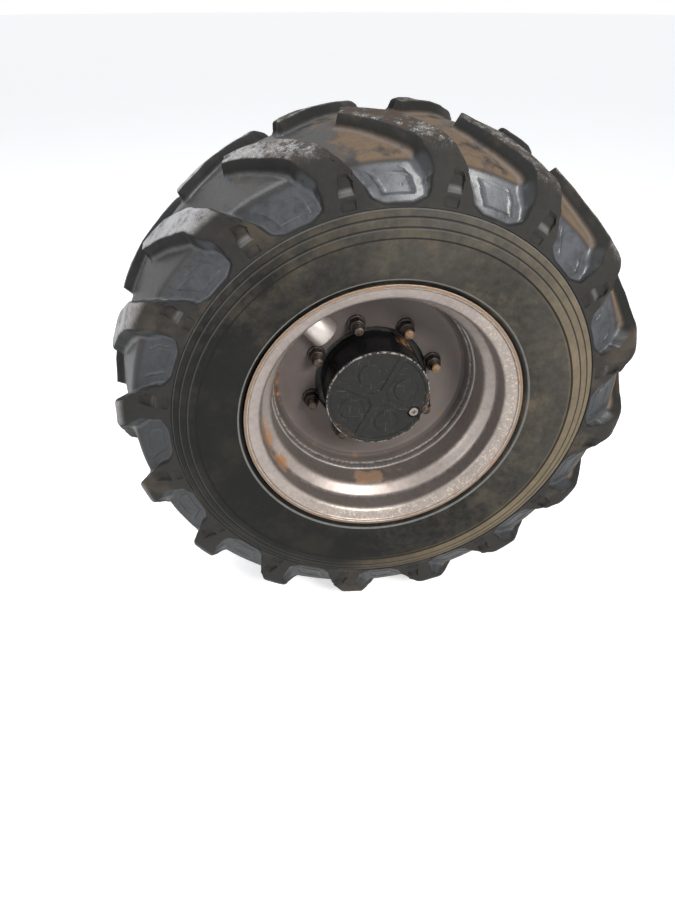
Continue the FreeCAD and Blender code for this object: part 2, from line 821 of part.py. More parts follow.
def build_housing():
    """Brake housing: mounting flange, ribbed drum, bored through for the half shaft."""
    body = new_body("brake_housing")
    thickness = s.housing_flange_thickness
    corner = s.housing_corner
    end = s.housing_end_out
    profile = [
        (ZERO, s.housing_bore_radius),
        (ZERO, s.housing_flange_radius),
        (thickness, s.housing_flange_radius),
        (thickness, s.housing_radius + corner),
        (thickness + corner, s.housing_radius),
        (end, s.housing_radius),
        (end, s.housing_bore_radius),
    ]
    turned(body, "housing_section", profile)
    rib_plan = new_sketch(body, "housing_rib_plan", "YZ_Plane", -s.housing_rib_width / 2)
    root = s.housing_radius - corner / 2
    tip = s.housing_radius + s.housing_rib_reach
    rib_corners = [
        (-thickness / 2, root),
        (-thickness / 2, tip),
        (-thickness, tip),
        (-thickness - s.housing_rib_length, root),
    ]
    outline(rib_plan, rib_corners)
    rib = extrude(body, "housing_rib", rib_plan, s.housing_rib_width)
    ring_of(body, "housing_ribs", [rib], s.housing_rib_count)
    holes = new_sketch(body, "mount_hole_plan", "XZ_Plane")
    circle(holes, *polar(s.mount_circle_radius, s.mount_phase), s.mount_hole_radius)
    hole = extrude(body, "mount_hole", holes, thickness, cut=True, reverse=True)
    ring_of(body, "mount_holes", [hole], s.mount_hole_count)
    return body


def build_ports():
    """Brake line plug and bleed screw on the housing's drum."""
    port = new_body("brake_port")
    plan = radial_sketch(port, "port_plan", s.port_angle, s.housing_radius)
    circle(plan, ZERO, -s.port_out, s.port_radius)
    extrude(port, "port", plan, s.port_height)
    bleed = new_body("bleed_screw")
    hex_plan = radial_sketch(bleed, "bleed_hex_plan", s.bleed_angle, s.housing_radius)
    hexagon(hex_plan, ZERO, -s.port_out, s.bleed_flats)
    extrude(bleed, "bleed_hex", hex_plan, s.bleed_hex_height)
    nipple = radial_sketch(bleed, "nipple_plan", s.bleed_angle, s.housing_radius)
    circle(nipple, ZERO, -s.port_out, s.bleed_radius)
    extrude(bleed, "nipple", nipple, s.bleed_height)
    return [port, bleed]


def build_shaft_seal():
    """Seal carrier in the housing's bore, with the half shaft running in it."""
    body = new_body("shaft_seal")
    lip = s.shaft_radius + s.running_clearance
    outer = s.housing_bore_radius
    end = s.seal_out + s.seal_width
    profile = [(s.seal_out, lip), (s.seal_out, outer), (end, outer), (end, lip)]
    turned(body, "carrier_section", profile)
    return body


def build_half_shaft():
    """Half shaft with a splined inner end."""
    body = new_body("half_shaft")
    plan = new_sketch(body, "shaft_plan", "XZ_Plane", s.shaft_start_out)
    circle(plan, ZERO, ZERO, s.shaft_radius)
    extrude(body, "shaft", plan, s.shaft_end_out - s.shaft_start_out)
    gap = new_sketch(body, "spline_gap_plan", "XZ_Plane", s.shaft_start_out)
    floor = s.shaft_radius - s.spline_depth
    slot_rectangle(gap, floor, s.shaft_radius + s.spline_depth, s.spline_gap, Size.of(0))
    groove = extrude(body, "spline_gap", gap, s.spline_length, cut=True, reverse=True)
    ring_of(body, "spline", [groove], s.spline_count)
    return body


BUILDERS = (
    build_tyre,
    build_barrel,
    build_disc,
    build_weld,
    build_studs,
    build_nuts,
    build_guard,
    build_valve,
    build_hub,
    build_hub_seal,
    build_cover,
    build_plug,
    build_spindle,
    build_spindle_bolts,
    build_housing,
    build_ports,
    build_shaft_seal,
    build_half_shaft,
)

pieces = []
for builder in BUILDERS:
    made = builder()
    pieces.extend(made if isinstance(made, list) else [made])
document.recompute()

for item in document.Objects:
    if "Invalid" in item.State or "Error" in item.State:
        raise RuntimeError("%s did not compute" % item.Label)

os.makedirs("parts", exist_ok=True)
for piece in pieces:
    shape = piece.Shape
    if shape.isNull() or not shape.isValid() or not shape.Solids:
        raise RuntimeError("%s has no valid solid" % piece.Label)
    shape.exportStep("parts/%s.step" % piece.Label)
    litres = shape.Volume / 1e6
    print("%s: %d solids, %.3f litres" % (piece.Label, len(shape.Solids), litres))
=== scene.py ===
"""Looks of a site dumper's wheel end: tyre, rim, planetary hub and axle end.

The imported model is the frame. Each sub-assembly below is a class that works its surfaces
out as arrays, turns them into meshes and dresses them in procedural finishes. Lengths are
millimetres until a surface becomes a mesh, which is in metres. A place on the wheel is
given by its distance out from the mounting face, its radius and its clock angle.
"""

import sys
import logging
import math
from dataclasses import dataclass, field
from enum import Enum
from functools import reduce
from operator import add
from typing import Optional, Sequence

import bmesh
import bpy
import numpy as np
from mathutils import Matrix


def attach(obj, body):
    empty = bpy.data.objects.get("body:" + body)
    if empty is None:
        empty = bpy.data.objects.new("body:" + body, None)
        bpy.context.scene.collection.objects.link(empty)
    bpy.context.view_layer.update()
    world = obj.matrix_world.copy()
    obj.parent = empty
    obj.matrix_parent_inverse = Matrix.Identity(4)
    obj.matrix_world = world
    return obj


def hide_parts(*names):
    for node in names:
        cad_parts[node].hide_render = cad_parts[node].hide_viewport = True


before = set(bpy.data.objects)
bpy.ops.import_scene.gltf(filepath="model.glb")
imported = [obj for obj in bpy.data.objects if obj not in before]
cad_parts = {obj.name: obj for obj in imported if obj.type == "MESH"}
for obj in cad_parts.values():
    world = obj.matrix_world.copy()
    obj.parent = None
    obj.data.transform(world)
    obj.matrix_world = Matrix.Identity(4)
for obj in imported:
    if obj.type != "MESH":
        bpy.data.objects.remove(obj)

Array = np.ndarray
Corners = Sequence[tuple[float, float]]
Rows = Sequence[tuple[float, float, float]]
Colour = tuple[float, float, float]
Place = tuple[float, float, float]
LOG = logging.getLogger("wheel_end")
METRE = 0.001
FULL_TURN = 2.0 * math.pi
CENTRE_OUT = 241.0  # how far out the tyre's middle plane lies
CREASE = 34.0  # degrees past which an edge stays sharp
LARGEST_CUT = 0.49  # share of a run that a corner's rounding may take
TINY = 1e-9  # keeps a division from 0
SAME_POINT = 1e-6  # points of a line nearer than this are one
MERGED = 2e-6  # points of a mesh nearer than this are merged, in metres


class Body(Enum):
    """The moving bodies that a piece can ride on."""

    AXLE = "axle_end"
    WHEEL = "wheel"
    SHAFT = "half_shaft"


# Surfaces


def rounded(corners: Array, cuts: Array, steps: int, closed: bool) -> Array:
    """Rounds the corners of a line.

    Near a corner P the line is (1-t)^2 A + 2t(1-t) P + t^2 B, where A and B lie a cut away
    from P on the runs before and after it.

    Args:
        corners: The line's corners, such as (out, radius) pairs.
        cuts: How far from each corner its rounding starts.
        steps: Points on each rounded corner.
        closed: Whether the last corner joins the first.

    Returns:
        The rounded line's points.
    """
    before, after, cut = np.roll(corners, 1, axis=0), np.roll(corners, -1, axis=0), cuts.copy()
    if not closed:
        before[0], after[-1] = corners[0], corners[-1]
        cut[[0, -1]] = 0.0
    run_in, run_out = before - corners, after - corners
    length_in = np.maximum(np.linalg.norm(run_in, axis=1), TINY)
    length_out = np.maximum(np.linalg.norm(run_out, axis=1), TINY)
    cut = np.minimum(cut, LARGEST_CUT * np.minimum(length_in, length_out))
    start = corners + run_in * (cut / length_in)[:, None]
    end = corners + run_out * (cut / length_out)[:, None]
    t = np.linspace(0.0, 1.0, steps)[None, :, None]
    line = (1 - t) ** 2 * start[:, None] + 2 * t * (1 - t) * corners[:, None] + t**2 * end[:, None]
    line = line.reshape(-1, 2)
    gaps = np.linalg.norm(np.diff(line, axis=0, prepend=line[:1] + 1.0), axis=1)
    return line[gaps > SAME_POINT]


def filled(line: Array, step: float, closed: bool = False) -> Array:
    """Adds points to a line's long runs.

    Args:
        line: The points of the line.
        step: The longest gap that is left.
        closed: Whether the last point joins the first.

    Returns:
        The line with its own points kept and even ones between them.
    """
    ends = np.roll(line, -1, axis=0) if closed else np.vstack([line[1:], line[-1:]])
    counts = np.maximum(1, np.ceil(np.linalg.norm(ends - line, axis=1) / step)).astype(int)
    index = np.repeat(np.arange(len(line)), counts)
    share = np.arange(len(index)) - np.repeat(np.cumsum(counts) - counts, counts)
    share = (share / counts[index])[:, None]
    return line[index] * (1 - share) + ends[index] * share


def profile(rows: Rows, gap: float, steps: int = 5, closed: bool = True) -> Array:
    """A section's line through corners that are each rounded by a cut of their own.

    Args:
        rows: The corners as (out, radius, cut).
        gap: The longest gap that is left between points.
        steps: Points on each rounded corner.
        closed: Whether the last corner joins the first.

    Returns:
        The line's points.
    """
    table = np.array(rows, float)
    return filled(rounded(table[:, :2], table[:, 2], steps, closed), gap, closed)


def smooth(value: Array, low: float, high: float) -> Array:
    """Rises from 0 at low to 1 at high as 3t^2 - 2t^3."""
    t = np.clip((value - low) / (high - low), 0.0, 1.0)
    return t * t * (3.0 - 2.0 * t)


def on_wheel(out: Array, radius: Array, clock: Array) -> Array:
    """Places of the wheel: x = radius sin(clock), y = -out, z = radius cos(clock)."""
    out, radius, clock = np.broadcast_arrays(out, radius, clock)
    return np.stack([radius * np.sin(clock), -out, radius * np.cos(clock)], axis=-1)


def clock_angles(count: int) -> Array:
    """Evenly spaced clock angles of a full turn, in radians."""
    return np.arange(count) * FULL_TURN / count


def hexagon(clock: Array, flats: float) -> Array:
    """Radius of a hexagon by clock angle: a / cos((c mod 60) - 30), with a half its width across flats."""
    return flats / 2 / np.cos(np.mod(clock, FULL_TURN / 6) - FULL_TURN / 12)


@dataclass
class Surface:
    """Points and four-cornered faces of a sheet, with masks that its finish can read."""

    points: Array
    faces: Array
    masks: dict[str, Array] = field(default_factory=dict)

    @classmethod
    def grid(cls, points: Array, closed_rows: bool = False, **masks: Array) -> "Surface":
        """Joins a grid of points row by row, and its last column to the first.

        Args:
            points: Array of rows by columns by 3.
            closed_rows: Whether the last row joins the first.
            masks: A value for each point, by name.

        Returns:
            The surface.
        """
        rows, columns = points.shape[:2]
        index = np.arange(rows * columns).reshape(rows, columns)
        if closed_rows:
            index = np.vstack([index, index[:1]])
        index = np.hstack([index, index[:, :1]])
        faces = np.stack([index[:-1, :-1], index[:-1, 1:], index[1:, 1:], index[1:, :-1]], axis=-1)
        flat = {name: np.broadcast_to(mask, (rows, columns)).ravel() for name, mask in masks.items()}
        return cls(points.reshape(-1, 3), faces.reshape(-1, 4), flat)

    @classmethod
    def joined(cls, parts: Sequence["Surface"]) -> "Surface":
        """Puts several surfaces that have no masks together as one."""
        starts = np.cumsum([0] + [len(part.points) for part in parts[:-1]])
        faces = np.concatenate([part.faces + start for part, start in zip(parts, starts)])
        return cls(np.concatenate([part.points for part in parts]), faces)

    def moved(self, matrix: Array, shift: Sequence[float]) -> "Surface":
        """Turns the points by a 3 by 3 matrix and shifts them."""
        return Surface(self.points @ matrix.T + np.asarray(shift), self.faces, self.masks)

    def to_object(self, name: str, crease: float = CREASE) -> bpy.types.Object:
        """Makes the mesh object, with doubled points merged and faces pointing outwards.

        Args:
            name: The object's name.
            crease: The angle in degrees past which an edge stays sharp.

        Returns:
            The new object, at the origin.
        """
        mesh = bpy.data.meshes.new(name)
        mesh.vertices.add(len(self.points))
        mesh.vertices.foreach_set("co", (self.points * METRE).astype(np.float32).ravel())
        mesh.loops.add(self.faces.size)
        mesh.loops.foreach_set("vertex_index", self.faces.astype(np.int32).ravel())
        mesh.polygons.add(len(self.faces))
        mesh.polygons.foreach_set("loop_start", np.arange(0, self.faces.size, 4, dtype=np.int32))
        for mask, values in self.masks.items():
            layer = mesh.attributes.new(mask, "FLOAT", "POINT")
            layer.data.foreach_set("value", values.astype(np.float32))
        mesh.update(calc_edges=True)
        shell = bmesh.new()
        shell.from_mesh(mesh)
        bmesh.ops.remove_doubles(shell, verts=shell.verts, dist=MERGED)
        bmesh.ops.recalc_face_normals(shell, faces=shell.faces)
        shell.to_mesh(mesh)
        shell.free()
        mesh.shade_smooth()
        mesh.set_sharp_from_angle(angle=math.radians(crease))
        made = bpy.data.objects.new(name, mesh)
        bpy.context.scene.collection.objects.link(made)
        return made


def revolved(line: Array, segments: int = 288, closed: bool = True) -> Surface:
    """Turns a line of (out, radius) points about the wheel's axis.

    Each point (o, r) of the line becomes the ring x = r sin c, y = -o, z = r cos c.

    Args:
        line: The section's points.
        segments: Columns round the turn.
        closed: Whether the section is a closed loop.

    Returns:
        The surface.
    """
    clock = clock_angles(segments)
    return Surface.grid(on_wheel(line[:, :1], line[:, 1:], clock[None]), closed_rows=closed)


def on_spot(surface: Surface, radius: float, clock: float) -> Surface:
    """Shifts a surface made round the wheel's axis to a place off it."""
    return surface.moved(np.eye(3), (radius * math.sin(clock), 0.0, radius * math.cos(clock)))


def pointing_outward(surface: Surface, radius: float, clock: float, out: float) -> Surface:
    """Stands a surface made along the out direction on a radius of the wheel.

    The surface's own out direction comes to point away from the axle.

    Args:
        surface: A surface round the wheel's axis, starting at out 0.
        radius: Where its start comes to lie.
        clock: The radius's clock angle in radians.
        out: How far out the radius lies.

    Returns:
        The surface in its place.
    """
    away = np.array([math.sin(clock), 0.0, math.cos(clock)])
    aside = np.array([math.cos(clock), 0.0, -math.sin(clock)])
    matrix = np.stack([aside, -away, np.array([0.0, 1.0, 0.0])], axis=1)
    return surface.moved(matrix, away * radius - np.array([0.0, out, 0.0]))


# Shader trees


class Value:
    """A number in a shader tree. Operators on it add Math nodes."""

    def __init__(self, shader: "Shader", socket: bpy.types.NodeSocket) -> None:
        """Wraps an output socket of a shader's tree."""
        self.shader = shader
        self.socket = socket

    def math(self, operation: str, first: object, second: object = None, clamp: bool = False) -> "Value":
        """Adds a Math node.

        Args:
            operation: The node's operation.
            first: Its first value.
            second: Its second value, where it has one.
            clamp: Whether the result is kept from 0 to 1.

        Returns:
            The result.
        """
        inputs = {0: first} if second is None else {0: first, 1: second}
        node = self.shader.node("ShaderNodeMath", {"operation": operation, "use_clamp": clamp}, inputs)
        return Value(self.shader, node.outputs[0])

    def __add__(self, other: object) -> "Value":
        """The sum."""
        return self.math("ADD", self, other)

    def __sub__(self, other: object) -> "Value":
        """The difference."""
        return self.math("SUBTRACT", self, other)

    def __mul__(self, other: object) -> "Value":
        """The product."""
        return self.math("MULTIPLY", self, other)

    def __pow__(self, other: object) -> "Value":
        """The power."""
        return self.math("POWER", self, other)

    def __rsub__(self, other: object) -> "Value":
        """The difference from a number."""
        return self.math("SUBTRACT", other, self)

    __radd__ = __add__
    __rmul__ = __mul__

    def size(self) -> "Value":
        """The value without its sign."""
        return self.math("ABSOLUTE", self)

    def most(self, other: object) -> "Value":
        """The larger of the two."""
        return self.math("MAXIMUM", self, other)

    def held(self) -> "Value":
        """The value kept from 0 to 1."""
        return self.math("ADD", self, 0.0, clamp=True)

    def between(self, low: float, high: float) -> "Value":
        """Rises smoothly from 0 at low to 1 at high, or falls where high is below low."""
        if high < low:
            return 1.0 - self.between(high, low)
        node = self.shader.node(
            "ShaderNodeMapRange",
            {"interpolation_type": "SMOOTHSTEP"},
            {"Value": self, "From Min": low, "From Max": high},
        )
        return Value(self.shader, node.outputs["Result"])

    def band(self, middle: float, half: float, soft: float) -> "Value":
        """Is 1 within half of the middle and fades to 0 over soft."""
        return (self - middle).size().between(half + soft, half)


class Shader:
    """A material's node tree, with one method that adds any node."""

    def __init__(self, name: str) -> None:
        """Starts an empty material."""
        self.material = bpy.data.materials.new(name)
        self.material.use_nodes = True
        self.tree = self.material.node_tree
        self.tree.nodes.clear()
        self.output = self.node("ShaderNodeOutputMaterial")
        coordinates = self.node("ShaderNodeTexCoord")
        self.place = coordinates.outputs["Object"]
        parts = self.node("ShaderNodeSeparateXYZ", None, {0: self.place})
        self.x = Value(self, parts.outputs[0])
        self.y = Value(self, parts.outputs[1])
        self.z = Value(self, parts.outputs[2])

    def node(self, kind: str, settings: Optional[dict] = None, inputs: Optional[dict] = None) -> bpy.types.Node:
        """Adds a node.

        Args:
            kind: The node's type.
            settings: Its settings, set first.
            inputs: Values or links of its sockets, by name or number.

        Returns:
            The node.
        """
        node = self.tree.nodes.new(kind)
        for name, setting in (settings or {}).items():
            setattr(node, name, setting)
        for name, given in (inputs or {}).items():
            socket = node.inputs[name]
            source = given.socket if isinstance(given, Value) else given
            if isinstance(source, bpy.types.NodeSocket):
                self.tree.links.new(source, socket)
            elif isinstance(source, tuple) and socket.type == "RGBA" and len(source) == 3:
                socket.default_value = (*source, 1.0)
            else:
                socket.default_value = source
        return node

    def radius(self) -> Value:
        """Distance from the wheel's axis in metres."""
        return (self.x * self.x + self.z * self.z) ** 0.5

    def clock(self) -> Value:
        """Clock angle about the wheel's axis, from -pi to pi."""
        return self.x.math("ARCTAN2", self.x, self.z)

    def mask(self, name: str) -> Value:
        """A value that the mesh carries at its points."""
        return Value(self, self.node("ShaderNodeAttribute", {"attribute_name": name}).outputs["Fac"])

    def stretched(self, scale: Place, turn: float = 0.0) -> bpy.types.NodeSocket:
        """The place with each direction scaled, then turned about the wheel's axis, in radians."""
        inputs = {"Vector": self.place, "Rotation": (0.0, turn, 0.0), "Scale": scale}
        return self.node("ShaderNodeMapping", None, inputs).outputs[0]

    def rings(self) -> bpy.types.NodeSocket:
        """The place as (0.3 for a radian of clock, -out, radius), for a pattern drawn out along rings."""
        clock = self.clock()
        return self.node("ShaderNodeCombineXYZ", None, {0: clock * 0.3, 1: self.y, 2: self.radius()}).outputs[0]

    def noise(self, scale: float, detail: float = 4.0, rough: float = 0.55, where: object = None) -> Value:
        """Fractal noise about 0.5.

        Args:
            scale: Features per metre.
            detail: How many finer layers it has.
            rough: How strong the finer layers are.
            where: The vector that it reads, the object's place if not given.

        Returns:
            The noise.
        """
        inputs = {"Vector": where or self.place, "Scale": scale, "Detail": detail, "Roughness": rough}
        return Value(self, self.node("ShaderNodeTexNoise", {"normalize": True}, inputs).outputs[0])

    def cells(self, scale: float, feature: str = "F1") -> Value:
        """Distance to the nearest of scattered points, in cells, with so many cells in a metre."""
        inputs = {"Vector": self.place, "Scale": scale}
        return Value(self, self.node("ShaderNodeTexVoronoi", {"feature": feature}, inputs).outputs["Distance"])

    def mix(self, first: object, second: object, share: object) -> bpy.types.NodeSocket:
        """Blends two colours.

        Args:
            first: The colour at a share of 0.
            second: The colour at a share of 1.
            share: The share.

        Returns:
            The blended colour.
        """
        node = self.node("ShaderNodeMix", {"data_type": "RGBA"}, {0: share, 6: first, 7: second})
        return node.outputs[2]

    def layered(self, base: object, *layers: tuple[object, object]) -> object:
        """Lays colours over a base, one over the other.

        Args:
            base: The lowest colour.
            layers: Each one's colour and the share of it that shows.

        Returns:
            The blended colour.
        """
        for colour, share in layers:
            base = self.mix(base, colour, share)
        return base

    def bump(self, height: object, depth: float, strength: float = 1.0, below: object = None) -> bpy.types.NodeSocket:
        """A normal from a height.

        Args:
            height: The height, from 0 to 1.
            depth: What a height of 1 stands for, in metres.
            strength: How much of it shows.
            below: Another bump's normal that this one lies on.

        Returns:
            The normal.
        """
        inputs = {"Height": height, "Distance": depth, "Strength": strength}
        if below is not None:
            inputs["Normal"] = below
        return self.node("ShaderNodeBump", None, inputs).outputs[0]

    def finished(self, **sockets: object) -> bpy.types.Material:
        """Feeds the surface shader and returns the material.

        Args:
            sockets: Values or links by socket name, with _ for a space.

        Returns:
            The material.
        """
        inputs = {name.replace("_", " "): given for name, given in sockets.items()}
        surface = self.node("ShaderNodeBsdfPrincipled", None, inputs)
        self.tree.links.new(surface.outputs[0], self.output.inputs["Surface"])
        return self.material


# Finishes


@dataclass(frozen=True)
class TreadRubber:
    """Weathered black rubber of the tread: dusty tops, muddy floors and damp pockets, with painted sunlight on the
    left tops, a painted sky reflection on the pockets and painted highlights along the lugs' roots and the recesses'
    lower edges.
    """

    rubber: Colour = (0.009, 0.009, 0.0085)
    aged: Colour = (0.034, 0.031, 0.027)
    dust: Colour = (0.30, 0.275, 0.255)
    # pale: pale dust on the left tops, which is also painted sunlight there.
    pale: Colour = (0.40, 0.40, 0.41)
    soil: Colour = (0.050, 0.030, 0.021)
    speck: Colour = (0.62, 0.61, 0.58)
    mud: Colour = (0.138, 0.096, 0.064)
    # foot: a painted highlight along the fillet at each lug's root.
    foot: Colour = (0.15, 0.15, 0.155)
    film: Colour = (0.12, 0.090, 0.062)
    # lip: a painted highlight on the lower edge of each recess in the lugs' ends.
    lip: Colour = (0.20, 0.20, 0.20)
    # Damp rubber, whose bluish lift is a painted sky reflection.
    damp_and_sky_reflection: Colour = (0.024, 0.026, 0.030)
    # pad: a painted sky reflection on the pockets' pads.
    pad: Colour = (0.066, 0.070, 0.080)
    crown_start: float = 0.494
    crown_full: float = 0.520

    def material(self) -> bpy.types.Material:
        """Builds the finish."""
        s = Shader("tread_rubber")
        height, pocket = s.mask("lug_height"), s.mask("pocket")
        # upper: the upper half, where the painted reflection and highlights are strongest. left: the left side, whose
        # tops are painted lighter as sunlight.
        upper, left = s.z.between(-0.10, 0.42), s.x.between(-0.06, -0.36)
        broad, fine = s.noise(7.0, 5.0, 0.6), s.noise(85.0, 6.0, 0.68)
        grit, blot = s.noise(420.0, 3.0, 0.7), s.noise(24.0, 5.0, 0.65)
        flank = height.between(0.04, 0.14) * height.between(0.97, 0.88)
        top = height.between(0.90, 1.0) * s.radius().between(self.crown_start, self.crown_full)
        # Dust streaks, heavier towards the left as painted sunlight.
        streaks = (fine * 1.3 + grit * 0.8 + blot * 1.1 - 1.48 + left * 0.30).between(0.0, 0.40)
        specks = s.cells(250.0).between(0.34, 0.16) * (blot * 0.7 + fine * 0.5).between(0.56, 0.70) * top
        floor = height.between(0.40, 0.02) * pocket.between(0.75, 0.25)
        patch = (blot * 0.7 + broad * 0.5 + s.x.between(-0.17, -0.05) * 0.22).between(0.66, 0.82)
        # foot: the fillet at each lug's root, where a highlight is painted.
        foot = height.between(0.0, 0.03) * height.between(0.22, 0.08)
        film = s.noise(11.0, 4.0, 0.6).between(0.52, 0.68) * height.between(0.3, 0.9)
        damp = (pocket.between(0.35, 0.85) + floor * (1.0 - patch) * 0.7).held()
        # glint breaks up the painted sky reflection on the pads, which fades down the pockets.
        glint = (blot * 0.8 + fine * 0.5).between(0.40, 0.80)
        painted_sky_sheen = pocket.between(0.5, 0.95) * height.between(0.30, 0.04) * glint
        colour = s.layered(
            self.rubber,
            (self.aged, (broad * 0.9 + fine * 0.8 - 0.42 - flank * 0.35).held()),
            # Dust on the tops. With the pale layer and less soil on the left, the left tops are painted lighter as
            # sunlight.
            (self.dust, top * (streaks * (0.50 + left * 0.3) + 0.03)),
            (self.pale, top * left * streaks * 0.6),
            (self.soil, top * blot.between(0.52, 0.38) * (0.75 - left * 0.5)),
            (self.speck, specks * 0.85),
            (self.mud, (floor * (patch * (0.45 + fine * 0.7) + 0.06)).held()),
            # Painted highlight along the lugs' roots.
            (self.foot, foot * 0.35),
            (self.film, film * 0.24),
            # Painted highlight on the recesses' lower edges, on the upper half.
            (self.lip, s.mask("lip") * upper * 0.7),
            # Damp pockets and floors, lightened and made bluish as a painted sky reflection.
            (self.damp_and_sky_reflection, (damp * (0.35 + broad * 0.6)).held()),
            # Painted sky reflection on the pads, stronger on the upper half.
            (self.pad, painted_sky_sheen * (upper * (0.45 + s.x.between(-0.20, 0.02) * 0.55) + 0.06)),
        )
        chips = s.cells(34.0, "SMOOTH_F1").between(0.05, 0.5)
        under = s.bump(chips * 0.5 + fine * 1.2, 0.0020, 0.40)
        return s.finished(
            Base_Color=colour,
            Roughness=(0.60 + fine * 0.22 + patch * floor * 0.2 + top * 0.12 - damp * 0.30).held(),
            Specular_IOR_Level=0.20,
            Coat_Weight=(damp * fine.between(0.30, 0.46) * (upper * 0.26 + 0.05)).held(),
            Coat_Roughness=0.22,
            Normal=s.bump(grit + fine * 0.6, 0.0007, 0.45, under),
        )


@dataclass(frozen=True)
class WallRubber:
    """Sidewall rubber: dull olive grey with rings, dried mud and fine crazing. The rings are painted shade in its
    grooves and painted highlights along its ridges.

    The grooves are radii in metres, where shade is painted. A ridge is its radius, half width, softness and strength,
    where a highlight is painted.
    """

    rubber: Colour = (0.0085, 0.0085, 0.0078)
    aged: Colour = (0.064, 0.058, 0.049)
    mud: Colour = (0.19, 0.150, 0.096)
    # Painted shade in the sidewall's grooves.
    painted_groove_shade: Colour = (0.008, 0.008, 0.008)
    # edge: a painted highlight along the sidewall's ridges.
    edge: Colour = (0.17, 0.17, 0.165)
    grooves: tuple[float, ...] = (0.398, 0.3833, 0.3663)
    # Ridges that get a painted highlight.
    ridges: tuple[tuple[float, ...], ...] = (
        (0.4108, 0.0012, 0.0016, 0.55),
        (0.2893, 0.0010, 0.0012, 0.9),
        (0.3965, 0.0006, 0.0010, 0.22),
        (0.3815, 0.0006, 0.0010, 0.22),
    )

    def material(self) -> bpy.types.Material:
        """Builds the finish."""
        s = Shader("sidewall_rubber")
        radius = s.radius()
        broad, fine = s.noise(5.0, 5.0, 0.6), s.noise(70.0, 6.0, 0.66)
        drawn = s.noise(60.0, 4.0, 0.6, s.rings())
        side = (s.x * 1.6 + s.z * 1.3 + broad * 0.9).between(0.05, 1.15)
        low_right = (s.x * 2.2 - s.z * 0.9 + broad * 0.9).between(0.45, 1.30)
        band = radius.band(0.389, 0.020, 0.010)
        patch = s.noise(9.0, 6.0, 0.7).between(0.47, 0.64)
        low_wall = radius.between(0.335, 0.30) * s.noise(13.0, 5.0, 0.65).between(0.50, 0.66)
        dirt = band * low_right * (0.35 + fine * 0.5) + patch * 0.16 * (side + 0.3) + low_wall * 0.22 * side
        dirt = dirt.held()
        # Painted shade along the grooves' radii.
        grooves = reduce(add, (radius.band(place, 0.0012, 0.0010) for place in self.grooves))
        # worn: painted highlights along the ridges.
        worn = reduce(add, (radius.band(place, half, soft) * share for place, half, soft, share in self.ridges))
        colour = s.layered(
            self.rubber,
            (self.aged, (broad * 0.9 + fine * 0.8 + drawn * 0.6 + side * 0.72 - 1.26).held()),
            (self.mud, dirt),
            (self.painted_groove_shade, (grooves * 0.8).held()),
            # Painted highlights on the ridges.
            (self.edge, (worn * (0.45 + fine * 0.8)).held()),
        )
        return s.finished(
            Base_Color=colour,
            Roughness=(0.42 + fine * 0.26 + dirt * 0.35).held(),
            Specular_IOR_Level=0.12,
            Normal=s.bump(s.noise(520.0, 3.0, 0.6) + fine * 0.9, 0.0006, 0.4),
        )


